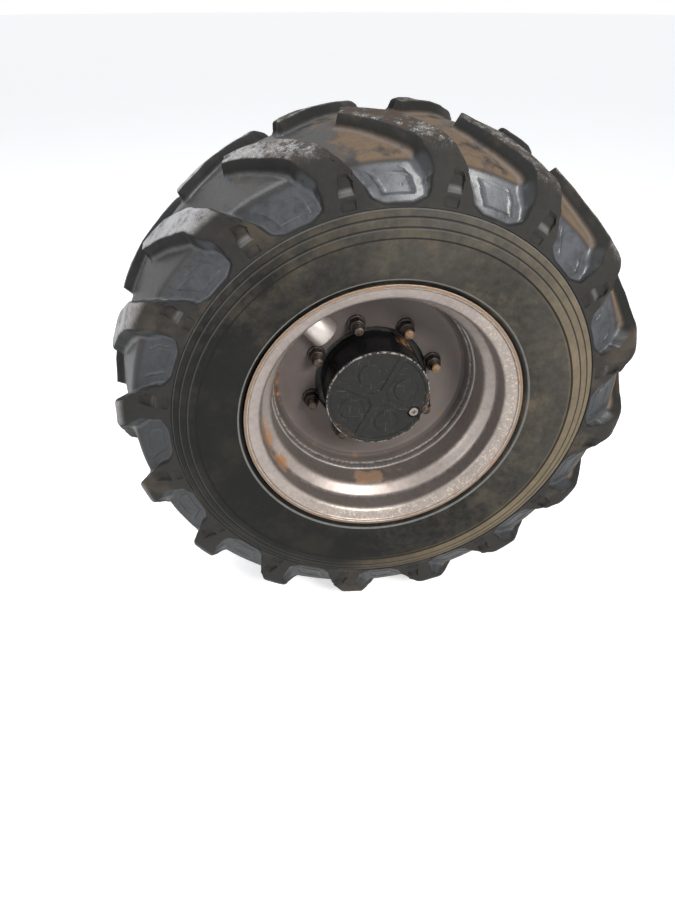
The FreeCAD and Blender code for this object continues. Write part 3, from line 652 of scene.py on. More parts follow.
@dataclass(frozen=True)
class RimPaint:
    """Silver rim paint with a pinkish tint, scuffed bright and rusty along its lip, with its curl tinted brown by a
    painted warm reflection.
    """

    shade: Colour = (0.190, 0.160, 0.145)
    paint: Colour = (0.36, 0.315, 0.290)
    # A brown tint on the lip's curl, partly a painted warm reflection.
    bronze_and_reflection: Colour = (0.17, 0.115, 0.075)
    bright: Colour = (0.66, 0.62, 0.57)
    bare: Colour = (0.60, 0.58, 0.56)
    fleck: Colour = (0.74, 0.62, 0.42)
    puddle: Colour = (0.30, 0.165, 0.082)
    rust: Colour = (0.27, 0.135, 0.060)

    def material(self) -> bpy.types.Material:
        """Builds the finish."""
        s = Shader("rim_paint")
        radius, rings = s.radius(), s.rings()
        out = 0.0 - s.y
        half = (out - CENTRE_OUT * METRE).size()
        broad, fine = s.noise(9.0, 5.0, 0.6), s.noise(110.0, 5.0, 0.65)
        drawn = s.noise(85.0, 5.0, 0.65, rings)
        brink = radius.between(0.2700, 0.2725) * half.between(0.1715, 0.1735)
        lip = radius.between(0.2776, 0.2788) * half.between(0.172, 0.175)
        rubbed = lip + radius.band(0.2722, 0.0006, 0.0010) * brink * 0.7
        seat = radius.band(0.2462, 0.0016, 0.0016) * half.band(0.1255, 0.004, 0.003)
        flange = radius.between(0.2475, 0.2515) * radius.between(0.272, 0.268)
        spots = s.cells(210.0).between(0.34, 0.14) * fine.between(0.47, 0.58)
        scuffs = s.noise(150.0, 4.0, 0.7, rings).between(0.55, 0.62)
        low_right = (s.x * 1.6 - s.z * 1.2 + 0.45 + broad * 0.3).between(0.2, 0.9)
        bent = s.noise(45.0, 4.0, 0.6) * 0.024 - 0.012
        well = (s.x + bent).band(-0.012, 0.026, 0.010) * s.z.between(-0.19, -0.21)
        well = well * (out + bent * 0.8).band(0.326, 0.016, 0.008)
        caked = s.noise(38.0, 5.0, 0.7).between(0.43, 0.54)
        streak = s.clock().band(-1.90, 0.22, 0.10) * out.band(0.374, 0.011, 0.008) * caked
        patch = s.noise(15.0, 5.0, 0.65).between(0.60, 0.70) * radius.between(0.236, 0.224) * 0.4
        edge_rust = brink * drawn.between(0.48, 0.38) * 0.6 + radius.band(0.2790, 0.0006, 0.0008) * 0.3
        rusty = (streak + patch + edge_rust).held()
        colour = s.layered(
            self.shade,
            (self.paint, (broad * 0.9 + drawn * 1.1 - 0.48).held()),
            # Brown tint on the curl, partly a painted warm reflection.
            (self.bronze_and_reflection, (brink * (0.55 + drawn * 0.6)).held()),
            (self.bright, (rubbed * (fine * 1.1 + drawn * 1.0 - 0.55)).held()),
            (self.bare, seat * drawn.between(0.40, 0.60) * 0.7),
            (self.fleck, (spots * 0.7 + scuffs * 0.40) * flange * low_right),
            (self.puddle, (well * (fine * 1.3 + broad * 0.5 - 0.15)).held()),
            (self.rust, rusty),
        )
        return s.finished(
            Base_Color=colour,
            Roughness=(0.26 + fine * 0.22 + drawn * 0.12 + rusty * 0.35 + well * 0.3).held(),
            Metallic=(0.72 + rubbed * 0.2 - rusty * 0.7 - well * 0.7 - brink * 0.15).held(),
            Normal=s.bump(fine + drawn * 0.6, 0.0006, 0.35),
        )


@dataclass(frozen=True)
class DiscPaint:
    """Dull reddish grey disc paint, dusty, with rust near its edge, painted light on its right and lower parts, a
    painted highlight on its outer edge and painted shade in its bend.
    """

    paint: Colour = (0.086, 0.068, 0.063)
    # dusty: dust, and also painted light where it lightens the right and lower parts.
    dusty: Colour = (0.165, 0.140, 0.128)
    # bright: a painted highlight on the disc's outer edge.
    bright: Colour = (0.42, 0.39, 0.36)
    # dark: painted shade in the disc's bend.
    dark: Colour = (0.030, 0.024, 0.021)
    rust: Colour = (0.25, 0.125, 0.055)

    def material(self) -> bpy.types.Material:
        """Builds the finish."""
        s = Shader("disc_paint")
        radius = s.radius()
        broad, fine = s.noise(10.0, 5.0, 0.6), s.noise(150.0, 4.0, 0.6)
        # right: lighter towards the right and the bottom, partly dust and partly painted light.
        right = s.x.between(0.02, 0.19) * 0.45 + s.z.between(0.0, -0.16) * 0.40
        # edge: the disc's outer edge, where a highlight is painted.
        edge = radius.between(0.2125, 0.2150)
        # Painted shade in the disc's bend.
        painted_groove_shade = radius.band(0.2065, 0.003, 0.003)
        flakes = s.noise(60.0, 5.0, 0.7).between(0.44, 0.56)
        left = s.clock().band(-1.42, 0.30, 0.14) * radius.between(0.199, 0.206) * flakes
        patch = s.noise(26.0, 5.0, 0.7).between(0.60, 0.70) * (radius.band(0.205, 0.008, 0.010) * 0.5 + 0.05)
        rusty = (left + patch).held()
        colour = s.layered(
            self.paint,
            # Dust, heavier on the right and lower parts as painted light.
            (self.dusty, (broad * 1.1 + fine * 0.45 + right - 0.66).held()),
            # Painted highlight on the outer edge.
            (self.bright, edge * fine.between(0.4, 0.6) * 0.7),
            # Painted shade in the bend.
            (self.dark, painted_groove_shade * 0.6),
            (self.rust, rusty),
        )
        return s.finished(
            Base_Color=colour,
            Roughness=(0.52 + fine * 0.22 + rusty * 0.2).held(),
            Metallic=0.2,
            Normal=s.bump(fine + s.noise(500.0, 2.0, 0.5) * 0.5, 0.0005, 0.4),
        )


@dataclass(frozen=True)
class WornMetal:
    """Bare or thinly coated steel with rust and dirt in it."""

    name: str
    metal: Colour
    dark: Colour
    rust: Colour = (0.19, 0.080, 0.026)
    rusting: float = 0.45
    shine: float = 0.42
    metallic: float = 0.8

    def material(self) -> bpy.types.Material:
        """Builds the finish."""
        s = Shader(self.name)
        broad, fine = s.noise(45.0, 5.0, 0.6), s.noise(260.0, 4.0, 0.65)
        start, full = 1.02 - self.rusting * 0.75, 1.16 - self.rusting * 0.75
        patch = (broad * 0.6 + s.noise(120.0, 5.0, 0.7) * 0.7).between(start, full)
        metal = (self.metal, (broad * 0.8 + fine * 0.7 - 0.25).held())
        return s.finished(
            Base_Color=s.layered(self.dark, metal, (self.rust, patch)),
            Roughness=(self.shine + fine * 0.22 + patch * 0.32).held(),
            Metallic=(self.metallic - patch * self.metallic).held(),
            Normal=s.bump(fine + patch * 0.4, 0.0005, 0.5),
        )


@dataclass(frozen=True)
class StudSteel:
    """Dark oiled threads, with a dry rusty end on the two studs at the upper right."""

    thread: Colour = (0.040, 0.030, 0.024)
    bright: Colour = (0.16, 0.12, 0.09)
    rust: Colour = (0.25, 0.145, 0.075)

    def material(self) -> bpy.types.Material:
        """Builds the finish."""
        s = Shader("stud_steel")
        out, fine, clock = 0.0 - s.y, s.noise(300.0, 4.0, 0.65), s.clock()
        dry = clock.between(0.30, 0.42) * clock.between(1.60, 1.50)
        end = out.between(0.290, 0.2935)
        patch = (end * dry * (fine * 2.2 - 0.40) + end * fine.between(0.52, 0.62) * 0.22).held()
        return s.finished(
            Base_Color=s.layered(self.thread, (self.bright, fine.between(0.42, 0.66) * 0.5), (self.rust, patch)),
            Roughness=(0.34 + fine * 0.2 + patch * 0.2).held(),
            Metallic=(0.6 - patch * 0.4).held(),
            Normal=s.bump(fine, 0.0004, 0.5),
        )


@dataclass(frozen=True)
class GuardSteel:
    """Bright bent steel with a straight grain along the wheel's axis."""

    metal: Colour = (0.66, 0.61, 0.575)
    dull: Colour = (0.44, 0.395, 0.365)
    stain: Colour = (0.20, 0.12, 0.07)

    def material(self) -> bpy.types.Material:
        """Builds the finish."""
        s = Shader("guard_steel")
        grain = s.noise(1.0, 5.0, 0.7, s.stretched((420.0, 30.0, 420.0)))
        broad = s.noise(40.0, 4.0, 0.6)
        spots = s.noise(150.0, 4.0, 0.7).between(0.60, 0.70)
        metal = (self.metal, (grain * 0.8 + broad * 0.7 - 0.25).held())
        return s.finished(
            Base_Color=s.layered(self.dull, metal, (self.stain, spots * 0.5)),
            Roughness=(0.34 + grain * 0.2 + spots * 0.25).held(),
            Metallic=0.75,
            Normal=s.bump(grain, 0.0003, 0.5),
        )


@dataclass(frozen=True)
class GlossBlack:
    """Gloss black enamel of the hub, scratched on its face and chipped along its edge."""

    name: str = "cover_paint"
    enamel: Colour = (0.009, 0.009, 0.010)
    faded: Colour = (0.019, 0.0185, 0.018)
    scratch: Colour = (0.20, 0.19, 0.175)
    chip: Colour = (0.34, 0.31, 0.28)
    rust: Colour = (0.17, 0.080, 0.034)
    primer: Colour = (0.26, 0.25, 0.23)
    stain: Colour = (0.36, 0.19, 0.080)
    face_out: float = 344.0
    rim_radius: float = 110.0

    def material(self) -> bpy.types.Material:
        """Builds the finish."""
        s = Shader(self.name)
        radius, clock, out = s.radius(), s.clock(), 0.0 - s.y
        face = out.between((self.face_out - 8) * METRE, (self.face_out - 5) * METRE)
        broad, fine = s.noise(22.0, 5.0, 0.6), s.noise(240.0, 4.0, 0.65)
        lines = s.noise(1.0, 2.0, 0.5, s.stretched((900.0, 60.0, 34.0), 0.7)).between(0.66, 0.72)
        more = s.noise(1.0, 2.0, 0.5, s.stretched((28.0, 60.0, 760.0), -0.5)).between(0.67, 0.73)
        edge = radius.between((self.rim_radius - 3.6) * METRE, (self.rim_radius - 1.8) * METRE)
        edge = edge * out.between((self.face_out - 4) * METRE, (self.face_out - 1.5) * METRE)
        chips = (fine * 0.6 + s.noise(60.0, 4.0, 0.7) * 0.7).between(0.60, 0.74)
        low_left, low_right = clock.band(-2.40, 0.24, 0.12), clock.band(1.82, 0.26, 0.14)
        flakes = s.noise(130.0, 5.0, 0.7).between(0.50, 0.62)
        near = radius.between((self.rim_radius - 16) * METRE, (self.rim_radius - 4) * METRE) * face
        rusty = (flakes * near * (low_left + low_right)).held()
        run = clock.band(0.64, 0.13, 0.10) * out.band(0.262, 0.018, 0.012) * radius.between(0.104, 0.108)
        stain = run * s.noise(90.0, 4.0, 0.65).between(0.40, 0.56)
        colour = s.layered(
            self.enamel,
            (self.faded, (face * (0.55 + broad * 0.7) + broad * 0.12 - 0.05).held()),
            (self.scratch, (lines + more).held() * face * 0.30),
            (self.chip, edge * chips * 0.9),
            (self.rust, rusty * 0.85),
            (self.primer, rusty * fine.between(0.56, 0.66) * 0.7),
            (self.stain, stain * 0.9),
        )
        return s.finished(
            Base_Color=colour,
            Roughness=(0.18 + face * 0.28 + fine * 0.14 + rusty * 0.3 + stain * 0.4).held(),
            Specular_IOR_Level=0.14,
            Normal=s.bump(fine + s.noise(60.0, 3.0, 0.5), 0.0005, 0.25),
        )


@dataclass(frozen=True)
class AxlePaint:
    """Satin dark grey casting paint with patches of dirt and a fine cast texture."""

    name: str = "axle_paint"
    paint: Colour = (0.020, 0.020, 0.021)
    faded: Colour = (0.055, 0.053, 0.050)
    dirt: Colour = (0.17, 0.135, 0.10)

    def material(self) -> bpy.types.Material:
        """Builds the finish."""
        s = Shader(self.name)
        broad, fine = s.noise(14.0, 5.0, 0.6), s.noise(180.0, 4.0, 0.6)
        patch = s.noise(19.0, 5.0, 0.65).between(0.50, 0.66)
        faded = (self.faded, (broad * 1.2 + fine * 0.3 - 0.45).held())
        return s.finished(
            Base_Color=s.layered(self.paint, faded, (self.dirt, patch * (0.35 + fine * 0.4))),
            Roughness=(0.44 + fine * 0.2 + patch * 0.3).held(),
            Normal=s.bump(s.noise(420.0, 3.0, 0.6) + broad * 0.6, 0.0007, 0.5),
        )


@dataclass(frozen=True)
class SoftPart:
    """Rubber or plastic of a small part."""

    name: str
    colour: Colour
    dusty: Colour
    rough: float = 0.55

    def material(self) -> bpy.types.Material:
        """Builds the finish."""
        s = Shader(self.name)
        broad, fine = s.noise(60.0, 4.0, 0.6), s.noise(400.0, 3.0, 0.6)
        return s.finished(
            Base_Color=s.mix(self.colour, self.dusty, (broad * 1.2 - 0.3).held()),
            Roughness=(self.rough + fine * 0.2).held(),
            Normal=s.bump(fine, 0.0003, 0.35),
        )


def piece(
    surface: Surface,
    name: str,
    body: Body,
    finish: bpy.types.Material,
    nodes: Sequence[str],
    crease: float = CREASE,
) -> bpy.types.Object:
    """Args:
        surface: Its surface.
        name: Its name.
        body: The body that it rides on.
        finish: Its material.
        nodes: The nodes that it stands for.
        crease: The angle in degrees past which its edges stay sharp.

    Returns:
        The object.
    """
    made = surface.to_object(name, crease)
    made.data.materials.append(finish)
    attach(made, body.value)
    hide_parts(*nodes)
    made.data.calc_loop_triangles()
    LOG.info("%s: %d triangles", name, len(made.data.loop_triangles))
    return made


# Tyre

# Columns of one pitch of the tread: a lug's edge has columns at set distances off it, in
# millimetres, each at its own share of the lug's height. Between the edges lie the lug's top
# and the void, with columns at shares of the way across. A recess in a lug's end face has its
# sides at two of the top's shares. Ahead of the tip the lug falls off over a few rows.
LUGS = 16
EDGE_ACROSS = np.array([15.0, 11.0, 8.8, 6.8, 1.8, -0.8, -3.4, -7.0])
EDGE_HEIGHT = np.array([0.0, 0.035, 0.13, 0.31, 0.865, 0.965, 0.995, 1.0])
TOP_SHARES = np.array([0.08, 0.20, 0.31, 0.345, 0.45, 0.58, 0.71, 0.815, 0.85, 0.93])
RECESS_LEFT, RECESS_RIGHT = 0.31, 0.85
VOID_SHARES = np.array(
    [0.04, 0.08, 0.12, 0.165, 0.18, 0.195, 0.29, 0.42, 0.58, 0.71, 0.805, 0.82, 0.835, 0.88, 0.92, 0.96]
)
TIP_AHEAD = np.array([12.0, 9.0, 7.0, 5.4, 1.0])
TIP_HEIGHT = np.array([0.0, 0.03, 0.12, 0.30, 0.92])
EDGES, TOPS, VOIDS = len(EDGE_ACROSS), len(TOP_SHARES), len(VOID_SHARES)
COLUMNS = 2 * EDGES + TOPS + VOIDS


@dataclass(frozen=True)
class Section:
    """The tread's section: distances along it, with the lug top's and the void floor's points."""

    distance: Array
    tops: Array
    floors: Array

    def at(self, along: Array, height: Array) -> list[Array]:
        """Half widths and radii of places: floor + height * (top - floor)."""
        places = []
        for top, floor in zip(self.tops.T, self.floors.T):
            high, low = np.interp(along, self.distance, top), np.interp(along, self.distance, floor)
            places.append(low + height * (high - low))
        return places


@dataclass(frozen=True)
class Plan:
    """One pitch of a side, every value a grid of rows along the section by columns round it.

    A point is at a clock angle and a distance along the section; its height is 0 on the floor
    and 1 on a lug's top. void_share is the place across the void, lug_share that across the
    lug's top or -1 off it, and inset the distance from the nearest lug's edge into the void.
    """

    clock: Array
    along: Array
    height: Array
    void_share: Array
    lug_share: Array
    inset: Array

    def with_tip(self, radius: float, pitch: float) -> "Plan":
        """Adds the rows ahead of the lugs' tips, fanned out evenly to the centre line.

        Args:
            radius: The first row's radius.
            pitch: The angle from lug to lug.

        Returns:
            The longer plan.
        """
        clock = self.clock[:1] - (TIP_AHEAD / radius)[:, None]
        along = np.repeat(self.along[:1], len(TIP_AHEAD), axis=0)
        even = (np.arange(COLUMNS) - (COLUMNS - VOIDS) * 0.5) / COLUMNS * pitch + math.radians(-9.0)
        halfway = clock[:1] * 0.5 + even * 0.5
        added = len(TIP_AHEAD) + 2
        same = {
            name: np.concatenate([np.repeat(getattr(self, name)[:1], added, axis=0), getattr(self, name)])
            for name in ("void_share", "lug_share", "inset")
        }
        return Plan(
            clock=np.concatenate([even[None], halfway, clock, self.clock]),
            along=np.concatenate([np.zeros((1, COLUMNS)), along[:1] * 0.5, along, self.along]),
            height=np.concatenate([np.zeros((2, COLUMNS)), self.height[:1] * TIP_HEIGHT[:, None], self.height]),
            **same,
        )


@dataclass(frozen=True)
class TreadSide:
    """One side of the tread, from the pattern's centre line over the shoulder to the lugs' roots."""

    side: float
    lug_offset: float
    count: int = LUGS
    pattern_centre: float = 22.0
    tip: float = 10.0
    tip_slant: float = 0.145
    depth: float = 22.0
    crown: float = 537.2
    flat: float = 25.0
    end_face: float = 107.1
    pocket_corner: float = 24.0
    recess_depth: float = 5.2
    foot_depth: float = 3.0
    line_rise: float = 1.2

    def section(self) -> Section:
        """The section from the centre line to the root, as (half width, radius) points."""
        start = self.pattern_centre * self.side
        shoulder = [(164.0, 514.0), (171.5, 511.0), (177.6, 506.0), (181.8, 499.0), (184.3, 490.0), (195.5, 412.5)]
        top = np.array([(start, self.crown), (self.flat, self.crown)] + shoulder)
        length = np.concatenate([[0.0], np.cumsum(np.linalg.norm(np.diff(top, axis=0), axis=1))])
        end = length[-1]
        floor = [
            (0.0, start, self.crown - self.depth),
            (length[1], self.flat, self.crown - self.depth),
            (end - 114.0, 150.0, 486.4),
            (end - 103.0, 158.0, 483.6),
            (end - 96.0, 163.2, 480.0),
            (end - 88.0, 167.4, 473.5),
            (end - 74.0, 172.2, 461.0),
            (end - 10.0, 188.4, 422.5),
            (end - 3.0, 190.4, 415.5),
            (end, 191.2, 412.5),
        ]
        at, half, radius = np.array(floor).T
        distance = np.linspace(0.0, end, 900)
        tops = np.stack([np.interp(distance, length, column) for column in top.T], axis=1)
        floors = np.stack([np.interp(distance, at, column) for column in (half, radius)], axis=1)
        return Section(distance, tops, floors)

    @staticmethod
    def edges(along: Array) -> tuple[Array, Array]:
        """Clock angles in degrees of a lug's two edges.

        Args:
            along: 0 at the tip, 1 at the shoulder, and past 1 the share of the lug's end face plus 1.

        Returns:
            The edge that leads into the void and the lug's back edge.
        """
        hollow = np.interp(
            along,
            [-0.2, 0.145, 0.275, 0.493, 0.768, 0.93, 1.0, 1.14, 1.27, 1.41, 1.69, 1.85, 2.0],
            [-14.0, -9.0, -7.0, -3.8, -0.2, 1.8, 2.7, 3.5, 4.5, 5.8, 6.3, 6.1, 5.1],
        )
        back = np.interp(
            along,
            [-0.2, 0.0, 0.094, 0.18, 0.29, 0.587, 0.855, 1.0, 1.14, 1.27, 1.41, 1.69, 1.85, 2.0],
            [-14.0, -8.2, -5.0, -1.9, 0.7, 5.0, 7.4, 8.6, 9.7, 10.9, 12.3, 14.6, 15.4, 16.4],
        )
        return hollow, back

    def softened(self, along: Array, which: int) -> Array:
        """One of the edges with its corners softened, but not at the tip's own point."""
        weights, offsets = (0.06, 0.24, 0.40, 0.24, 0.06), (-0.06, -0.03, 0.0, 0.03, 0.06)
        edge = sum(weight * self.edges(along + offset)[which] for weight, offset in zip(weights, offsets))
        edge[0] = self.edges(along)[which][0]
        return edge

    def body_rows(self) -> Array:
        """Places of the rows along a lug: 0 at the tip, 1 at the shoulder, 2 at the root."""
        crown = [0.0, 0.012, 0.035, 0.075, 0.13, 0.20, 0.28, 0.37, 0.46, 0.55, 0.64, 0.73, 0.81, 0.88, 0.94, 0.98]
        up = [self.end_face, 104.0, 100.5, 97.0, 93.5, 90.0, 87.0, 83.0, 79.0, 75.4, 74.0, 72.6, 67.0, 61.0, 54.5]
        up += [52.8, 47.0, 40.0, 32.5, 28.5, 25.4, 24.0, 22.6, 18.5, 17.0, 14.0, 11.0, 8.0, 6.0, 4.5, 3.0, 1.5, 0.0]
        return np.concatenate([crown, 2.0 - np.array(up) / self.end_face])

    def surface(self) -> Surface:
        """The side's grid, rows from the centre line to the root and columns round the tyre.

        Columns follow a lug's two edges, and the columns between them are spread evenly.
        Before the tip they fan out to the centre line, where the other side meets them.
        """
        section, rows = self.section(), self.body_rows()
        end = section.distance[-1]
        shoulder = end - self.end_face
        span = shoulder - self.tip
        crown_share = np.minimum(rows, 1.0)
        wall = np.maximum(rows - 1.0, 0.0) * (end - shoulder)
        s_back = self.tip + crown_share * span + wall
        s_hollow = self.tip + (self.tip_slant + (1 - self.tip_slant) * crown_share) * span + wall
        at_hollow = np.where(rows <= 1.0, self.tip_slant + (1 - self.tip_slant) * rows, rows)
        radius = np.interp(s_back, section.distance, section.tops[:, 1])
        edge_low = np.stack([np.radians(self.softened(at_hollow, 0)) * radius, s_hollow], axis=1)
        edge_high = np.stack([np.radians(self.softened(rows, 1)) * radius, s_back], axis=1)

        swell = np.interp(s_back, [0.0, shoulder, shoulder + 20.0, end], [1.0, 1.15, 1.2, 0.62])[:, None]
        across = (EDGE_ACROSS * swell)[..., None]
        low = edge_low[:, None] + self.normals(edge_low, -1.0)[:, None] * across
        high = edge_high[:, None] + self.normals(edge_high, 1.0)[:, None] * across[:, ::-1]
        shared = self.recess_shares(end - s_back, radius, low[:, -1, 0], high[:, 0, 0])[..., None]
        top = low[:, -1:] * (1 - shared) + high[:, :1] * shared
        pitch = FULL_TURN / self.count
        turn = (pitch * radius)[:, None]
        lead = low[:, :1].copy()
        lead[..., 0] += turn
        share = VOID_SHARES[None, :, None]
        void = high[:, -1:] * (1 - share) + lead * share
        flat, along = np.moveaxis(np.concatenate([low, top, high, void], axis=1), 2, 0)
        along = np.clip(along, 0.0, end)
        along[-1] = end

        middle = (edge_high[:, :1] + edge_low[:, :1] + turn) / 2
        half_gap = (edge_low[:, :1] + turn - edge_high[:, :1]) / 2
        inset = half_gap - np.abs(flat - middle)
        inset[:, :EDGES] = (half_gap - np.abs(flat - middle + turn))[:, :EDGES]
        inset[:, EDGES : EDGES + TOPS] = EDGE_ACROSS[-1]
        each_row = np.ones((len(rows), 1))
        plan = Plan(
            clock=flat / radius[:, None],
            along=along,
            height=np.concatenate([EDGE_HEIGHT, np.ones(TOPS), EDGE_HEIGHT[::-1], np.zeros(VOIDS)]) * each_row,
            void_share=np.concatenate([np.ones(EDGES + TOPS), np.zeros(EDGES), VOID_SHARES]) * each_row,
            lug_share=np.concatenate([np.full(EDGES, -1.0), TOP_SHARES, np.full(EDGES + VOIDS, -1.0)]) * each_row,
            inset=inset,
        )
        return self.laid(plan.with_tip(radius[0], pitch), section)

    @staticmethod
    def recess_shares(from_root: Array, radius: Array, low: Array, high: Array) -> Array:
        """Places of the columns across a lug's top, drawn to the recess's straight sides on its end.

        Args:
            from_root: Each row's distance from the lugs' root.
            radius: Each row's radius.
            low: Where each row's top starts, in millimetres round the tyre.
            high: Where it ends.

        Returns:
            The places, a row for each row.
        """
        drawn = smooth(from_root, 92.0, 66.0)
        left = np.radians(9.2 + 0.6 * smooth(radius, 440.0, 466.0)) * radius
        right = np.radians(12.6) * radius
        start = (RECESS_LEFT + drawn * ((left - low) / (high - low) - RECESS_LEFT))[:, None]
        stop = (RECESS_RIGHT + drawn * ((right - low) / (high - low) - RECESS_RIGHT))[:, None]
        share = TOP_SHARES[None]
        before = share / RECESS_LEFT * start
        between = start + (share - RECESS_LEFT) / (RECESS_RIGHT - RECESS_LEFT) * (stop - start)
        after = 1 - (1 - share) / (1 - RECESS_RIGHT) * (1 - stop)
        return np.where(share < RECESS_LEFT, before, np.where(share > RECESS_RIGHT, after, between))

    @staticmethod
    def normals(edge: Array, sign: float) -> Array:
        """Directions square to a plan edge, pointing off the lug."""
        run = np.gradient(edge, axis=0)
        run /= np.maximum(np.linalg.norm(run, axis=1, keepdims=True), TINY)
        return np.stack([run[:, 1], -run[:, 0]], axis=1) * sign

    def sunk(self, plan: Plan, from_root: Array) -> Array:
        """How deep the recesses in the lugs' ends lie, with the pockets' raised lines below 0."""
        share, aside = plan.lug_share, np.abs(plan.void_share - 0.5)
        inside = smooth(share, RECESS_LEFT, 0.345) * smooth(share, RECESS_RIGHT, 0.815)
        recess = smooth(from_root, 28.5, 32.5) * smooth(from_root, 54.5, 52.8) * inside
        foot = smooth(from_root, 3.0, 6.0) * smooth(from_root, 18.5, 17.0) * inside
        upright = np.exp(-(((aside - 0.32) / 0.012) ** 2))
        upright = upright * smooth(from_root, 22.6, 24.0) * smooth(from_root, 75.2, 74.0)
        level = sum(np.exp(-(((from_root - line) / 1.1) ** 2)) for line in (74.0, 24.0)) * (aside < 0.325)
        return self.recess_depth * recess + self.foot_depth * foot - self.line_rise * np.maximum(upright, level)

    def laid(self, plan: Plan, section: Section) -> Surface:
        """Lays one pitch of the plan on the section and repeats it round the tyre.

        A pocket between two lug ends has corners of the radius pocket_corner; past them the
        floor rises flush with the lugs. The tops wander and wear by sums of sines.

        Args:
            plan: The pitch's plan.
            section: The section that it is laid on.

        Returns:
            The side's surface.
        """
        from_root = section.distance[-1] - plan.along
        pocket = smooth(from_root, 106.0, 76.0) * (1 - smooth(plan.height, 0.80, 0.95))
        reach_x = np.maximum(self.pocket_corner - plan.inset, 0.0)
        reach_y = np.maximum(self.pocket_corner - (from_root - 1.2), 0.0)
        beyond = np.hypot(reach_x, reach_y) - self.pocket_corner
        flush = smooth(beyond, -7.0, -0.5) * smooth(from_root, 60.0, 40.0)
        height = np.maximum(plan.height, flush * 0.97)
        place, radius = section.at(plan.along, height)
        sunk = self.sunk(plan, from_root)
        # lip marks each recess's lower edge, which the tread finish paints with a highlight.
        lip = smooth(from_root, 26.0, 29.0) * smooth(from_root, 33.0, 31.0)
        lip = lip * smooth(plan.lug_share, RECESS_LEFT, 0.36) * smooth(plan.lug_share, RECESS_RIGHT, 0.80)
        once = (place - sunk * 0.99, radius - sunk * 0.14, height, pocket * (1 - flush), lip)
        place, radius, height, pocket, lip = (np.tile(part, (1, self.count)) for part in once)

        number, along = np.arange(self.count)[None, :, None], plan.along[:, None]
        sway = np.sin(along * 0.11 + number * 2.1) + 0.8 * np.sin(along * 0.29 + number * 4.7)
        sway = sway * (smooth(plan.along, 6.0, 20.0) * smooth(from_root, 6.0, 30.0))[:, None] * 0.0016
        clock = plan.clock[:, None, :] + number * (FULL_TURN / self.count) + sway
        clock = clock.reshape(len(plan.clock), -1) + self.lug_offset
        wander = np.sin(clock * 5 + self.side) + np.sin(clock * 13 + place * 0.02)
        wander = wander + 0.6 * np.sin(clock * 61 + place * 0.11)
        worn = 0.5 + 0.25 * np.sin(clock * 37 + place * 0.05) + 0.25 * np.sin(clock * 83 - place * 0.13)
        wear = wander * 0.35 * smooth(radius, 430.0, 500.0) - 1.6 * worn * height * smooth(radius, 500.0, 515.0)
        points = on_wheel(CENTRE_OUT + self.side * place, radius + wear, clock)
        return Surface.grid(points, lug_height=height, pocket=pocket, lip=lip)


@dataclass(frozen=True)
class Tyre:
    """Tyre with sixteen swept lugs a side, turned sidewalls and an inner liner.

    wall holds one side's section as (half width, radius, cut), from the lugs' roots to the
    bead; liner and under hold (half width, radius) points inside it and below the tread.
    """

    segments: int = 320
    phase: float = 0.5
    wall: Rows = (
        (181.0, 412.0, 0.0), (190.6, 412.4, 2.0), (195.6, 409.0, 3.0), (199.3, 400.2, 0.8),
        (198.6, 398.0, 0.8), (200.8, 396.4, 0.8), (204.2, 385.6, 0.8), (203.4, 383.4, 0.8),
        (205.2, 381.6, 0.8), (206.0, 374.0, 3.0), (206.0, 367.6, 0.9), (203.6, 366.0, 1.2),
        (203.4, 352.0, 8.0), (200.8, 334.6, 10.0), (195.8, 314.0, 8.0), (189.0, 299.0, 6.0),
        (184.0, 291.4, 1.5), (183.2, 289.4, 1.0), (180.4, 287.4, 1.5), (175.4, 285.2, 3.0),
        (170.0, 281.2, 3.0), (166.0, 276.0, 4.0), (164.2, 268.0, 4.0), (164.4, 254.6, 0.0),
    )  # fmt: skip
    liner: Corners = (
        (125.0, 252.4), (128.0, 262.0), (150.0, 300.0), (182.0, 350.0),
        (191.0, 382.0), (176.0, 430.0), (142.0, 474.0),
    )  # fmt: skip
    under: Corners = ((150.0, 478.0), (178.0, 430.0))

    def casing(self) -> Surface:
        """The closed section: sidewall, bead, liner, the other side, and under the tread."""
        mirror = np.array([-1.0, 1.0])
        half, under = np.vstack([profile(self.wall, 9.0, closed=False), self.liner]), np.array(self.under)
        section = np.vstack([half, half[::-1] * mirror, under * mirror, under[::-1]])
        section[:, 0] += CENTRE_OUT
        return revolved(section, self.segments)

    def tread(self) -> Surface:
        """Both sides of the tread and what closes them underneath."""
        phase = math.radians(self.phase)
        outer = TreadSide(1.0, phase).surface()
        inner = TreadSide(-1.0, phase + FULL_TURN / LUGS / 2).surface()
        width, shift = LUGS * COLUMNS, COLUMNS // 2

        def met(behind: Array, front: Array) -> Array:
            """Joins a grid of the inner side, turned half a pitch on, to the outer side's."""
            return np.concatenate([np.roll(behind, shift, axis=1)[::-1], front[1:]])

        points = met(inner.points.reshape(-1, width, 3), outer.points.reshape(-1, width, 3))
        clock = np.arctan2(points[..., 0], points[..., 2])
        under = [(186.0, 405.0), (178.0, 440.0), (140.0, 479.0), (-140.0, 479.0), (-178.0, 440.0), (-186.0, 405.0)]
        at = np.repeat(clock[[-1, 0]], 3, axis=0)
        half, radius = np.array(under).T[:, :, None]
        below = on_wheel(CENTRE_OUT + half, radius, at)
        masks = {}
        for name, mask in outer.masks.items():
            joined = met(inner.masks[name].reshape(-1, width), mask.reshape(-1, width))
            masks[name] = np.concatenate([joined, np.zeros(at.shape)])
        return Surface.grid(np.concatenate([points, below]), closed_rows=True, **masks)

    def build(self) -> None:
        """Builds and dresses the tyre."""
        piece(self.tread(), "tyre_tread", Body.WHEEL, TreadRubber().material(), ["tyre"], 38.0)
        piece(self.casing(), "tyre_casing", Body.WHEEL, WallRubber().material(), ["tyre"], 40.0)


# Rim, disc and fastening


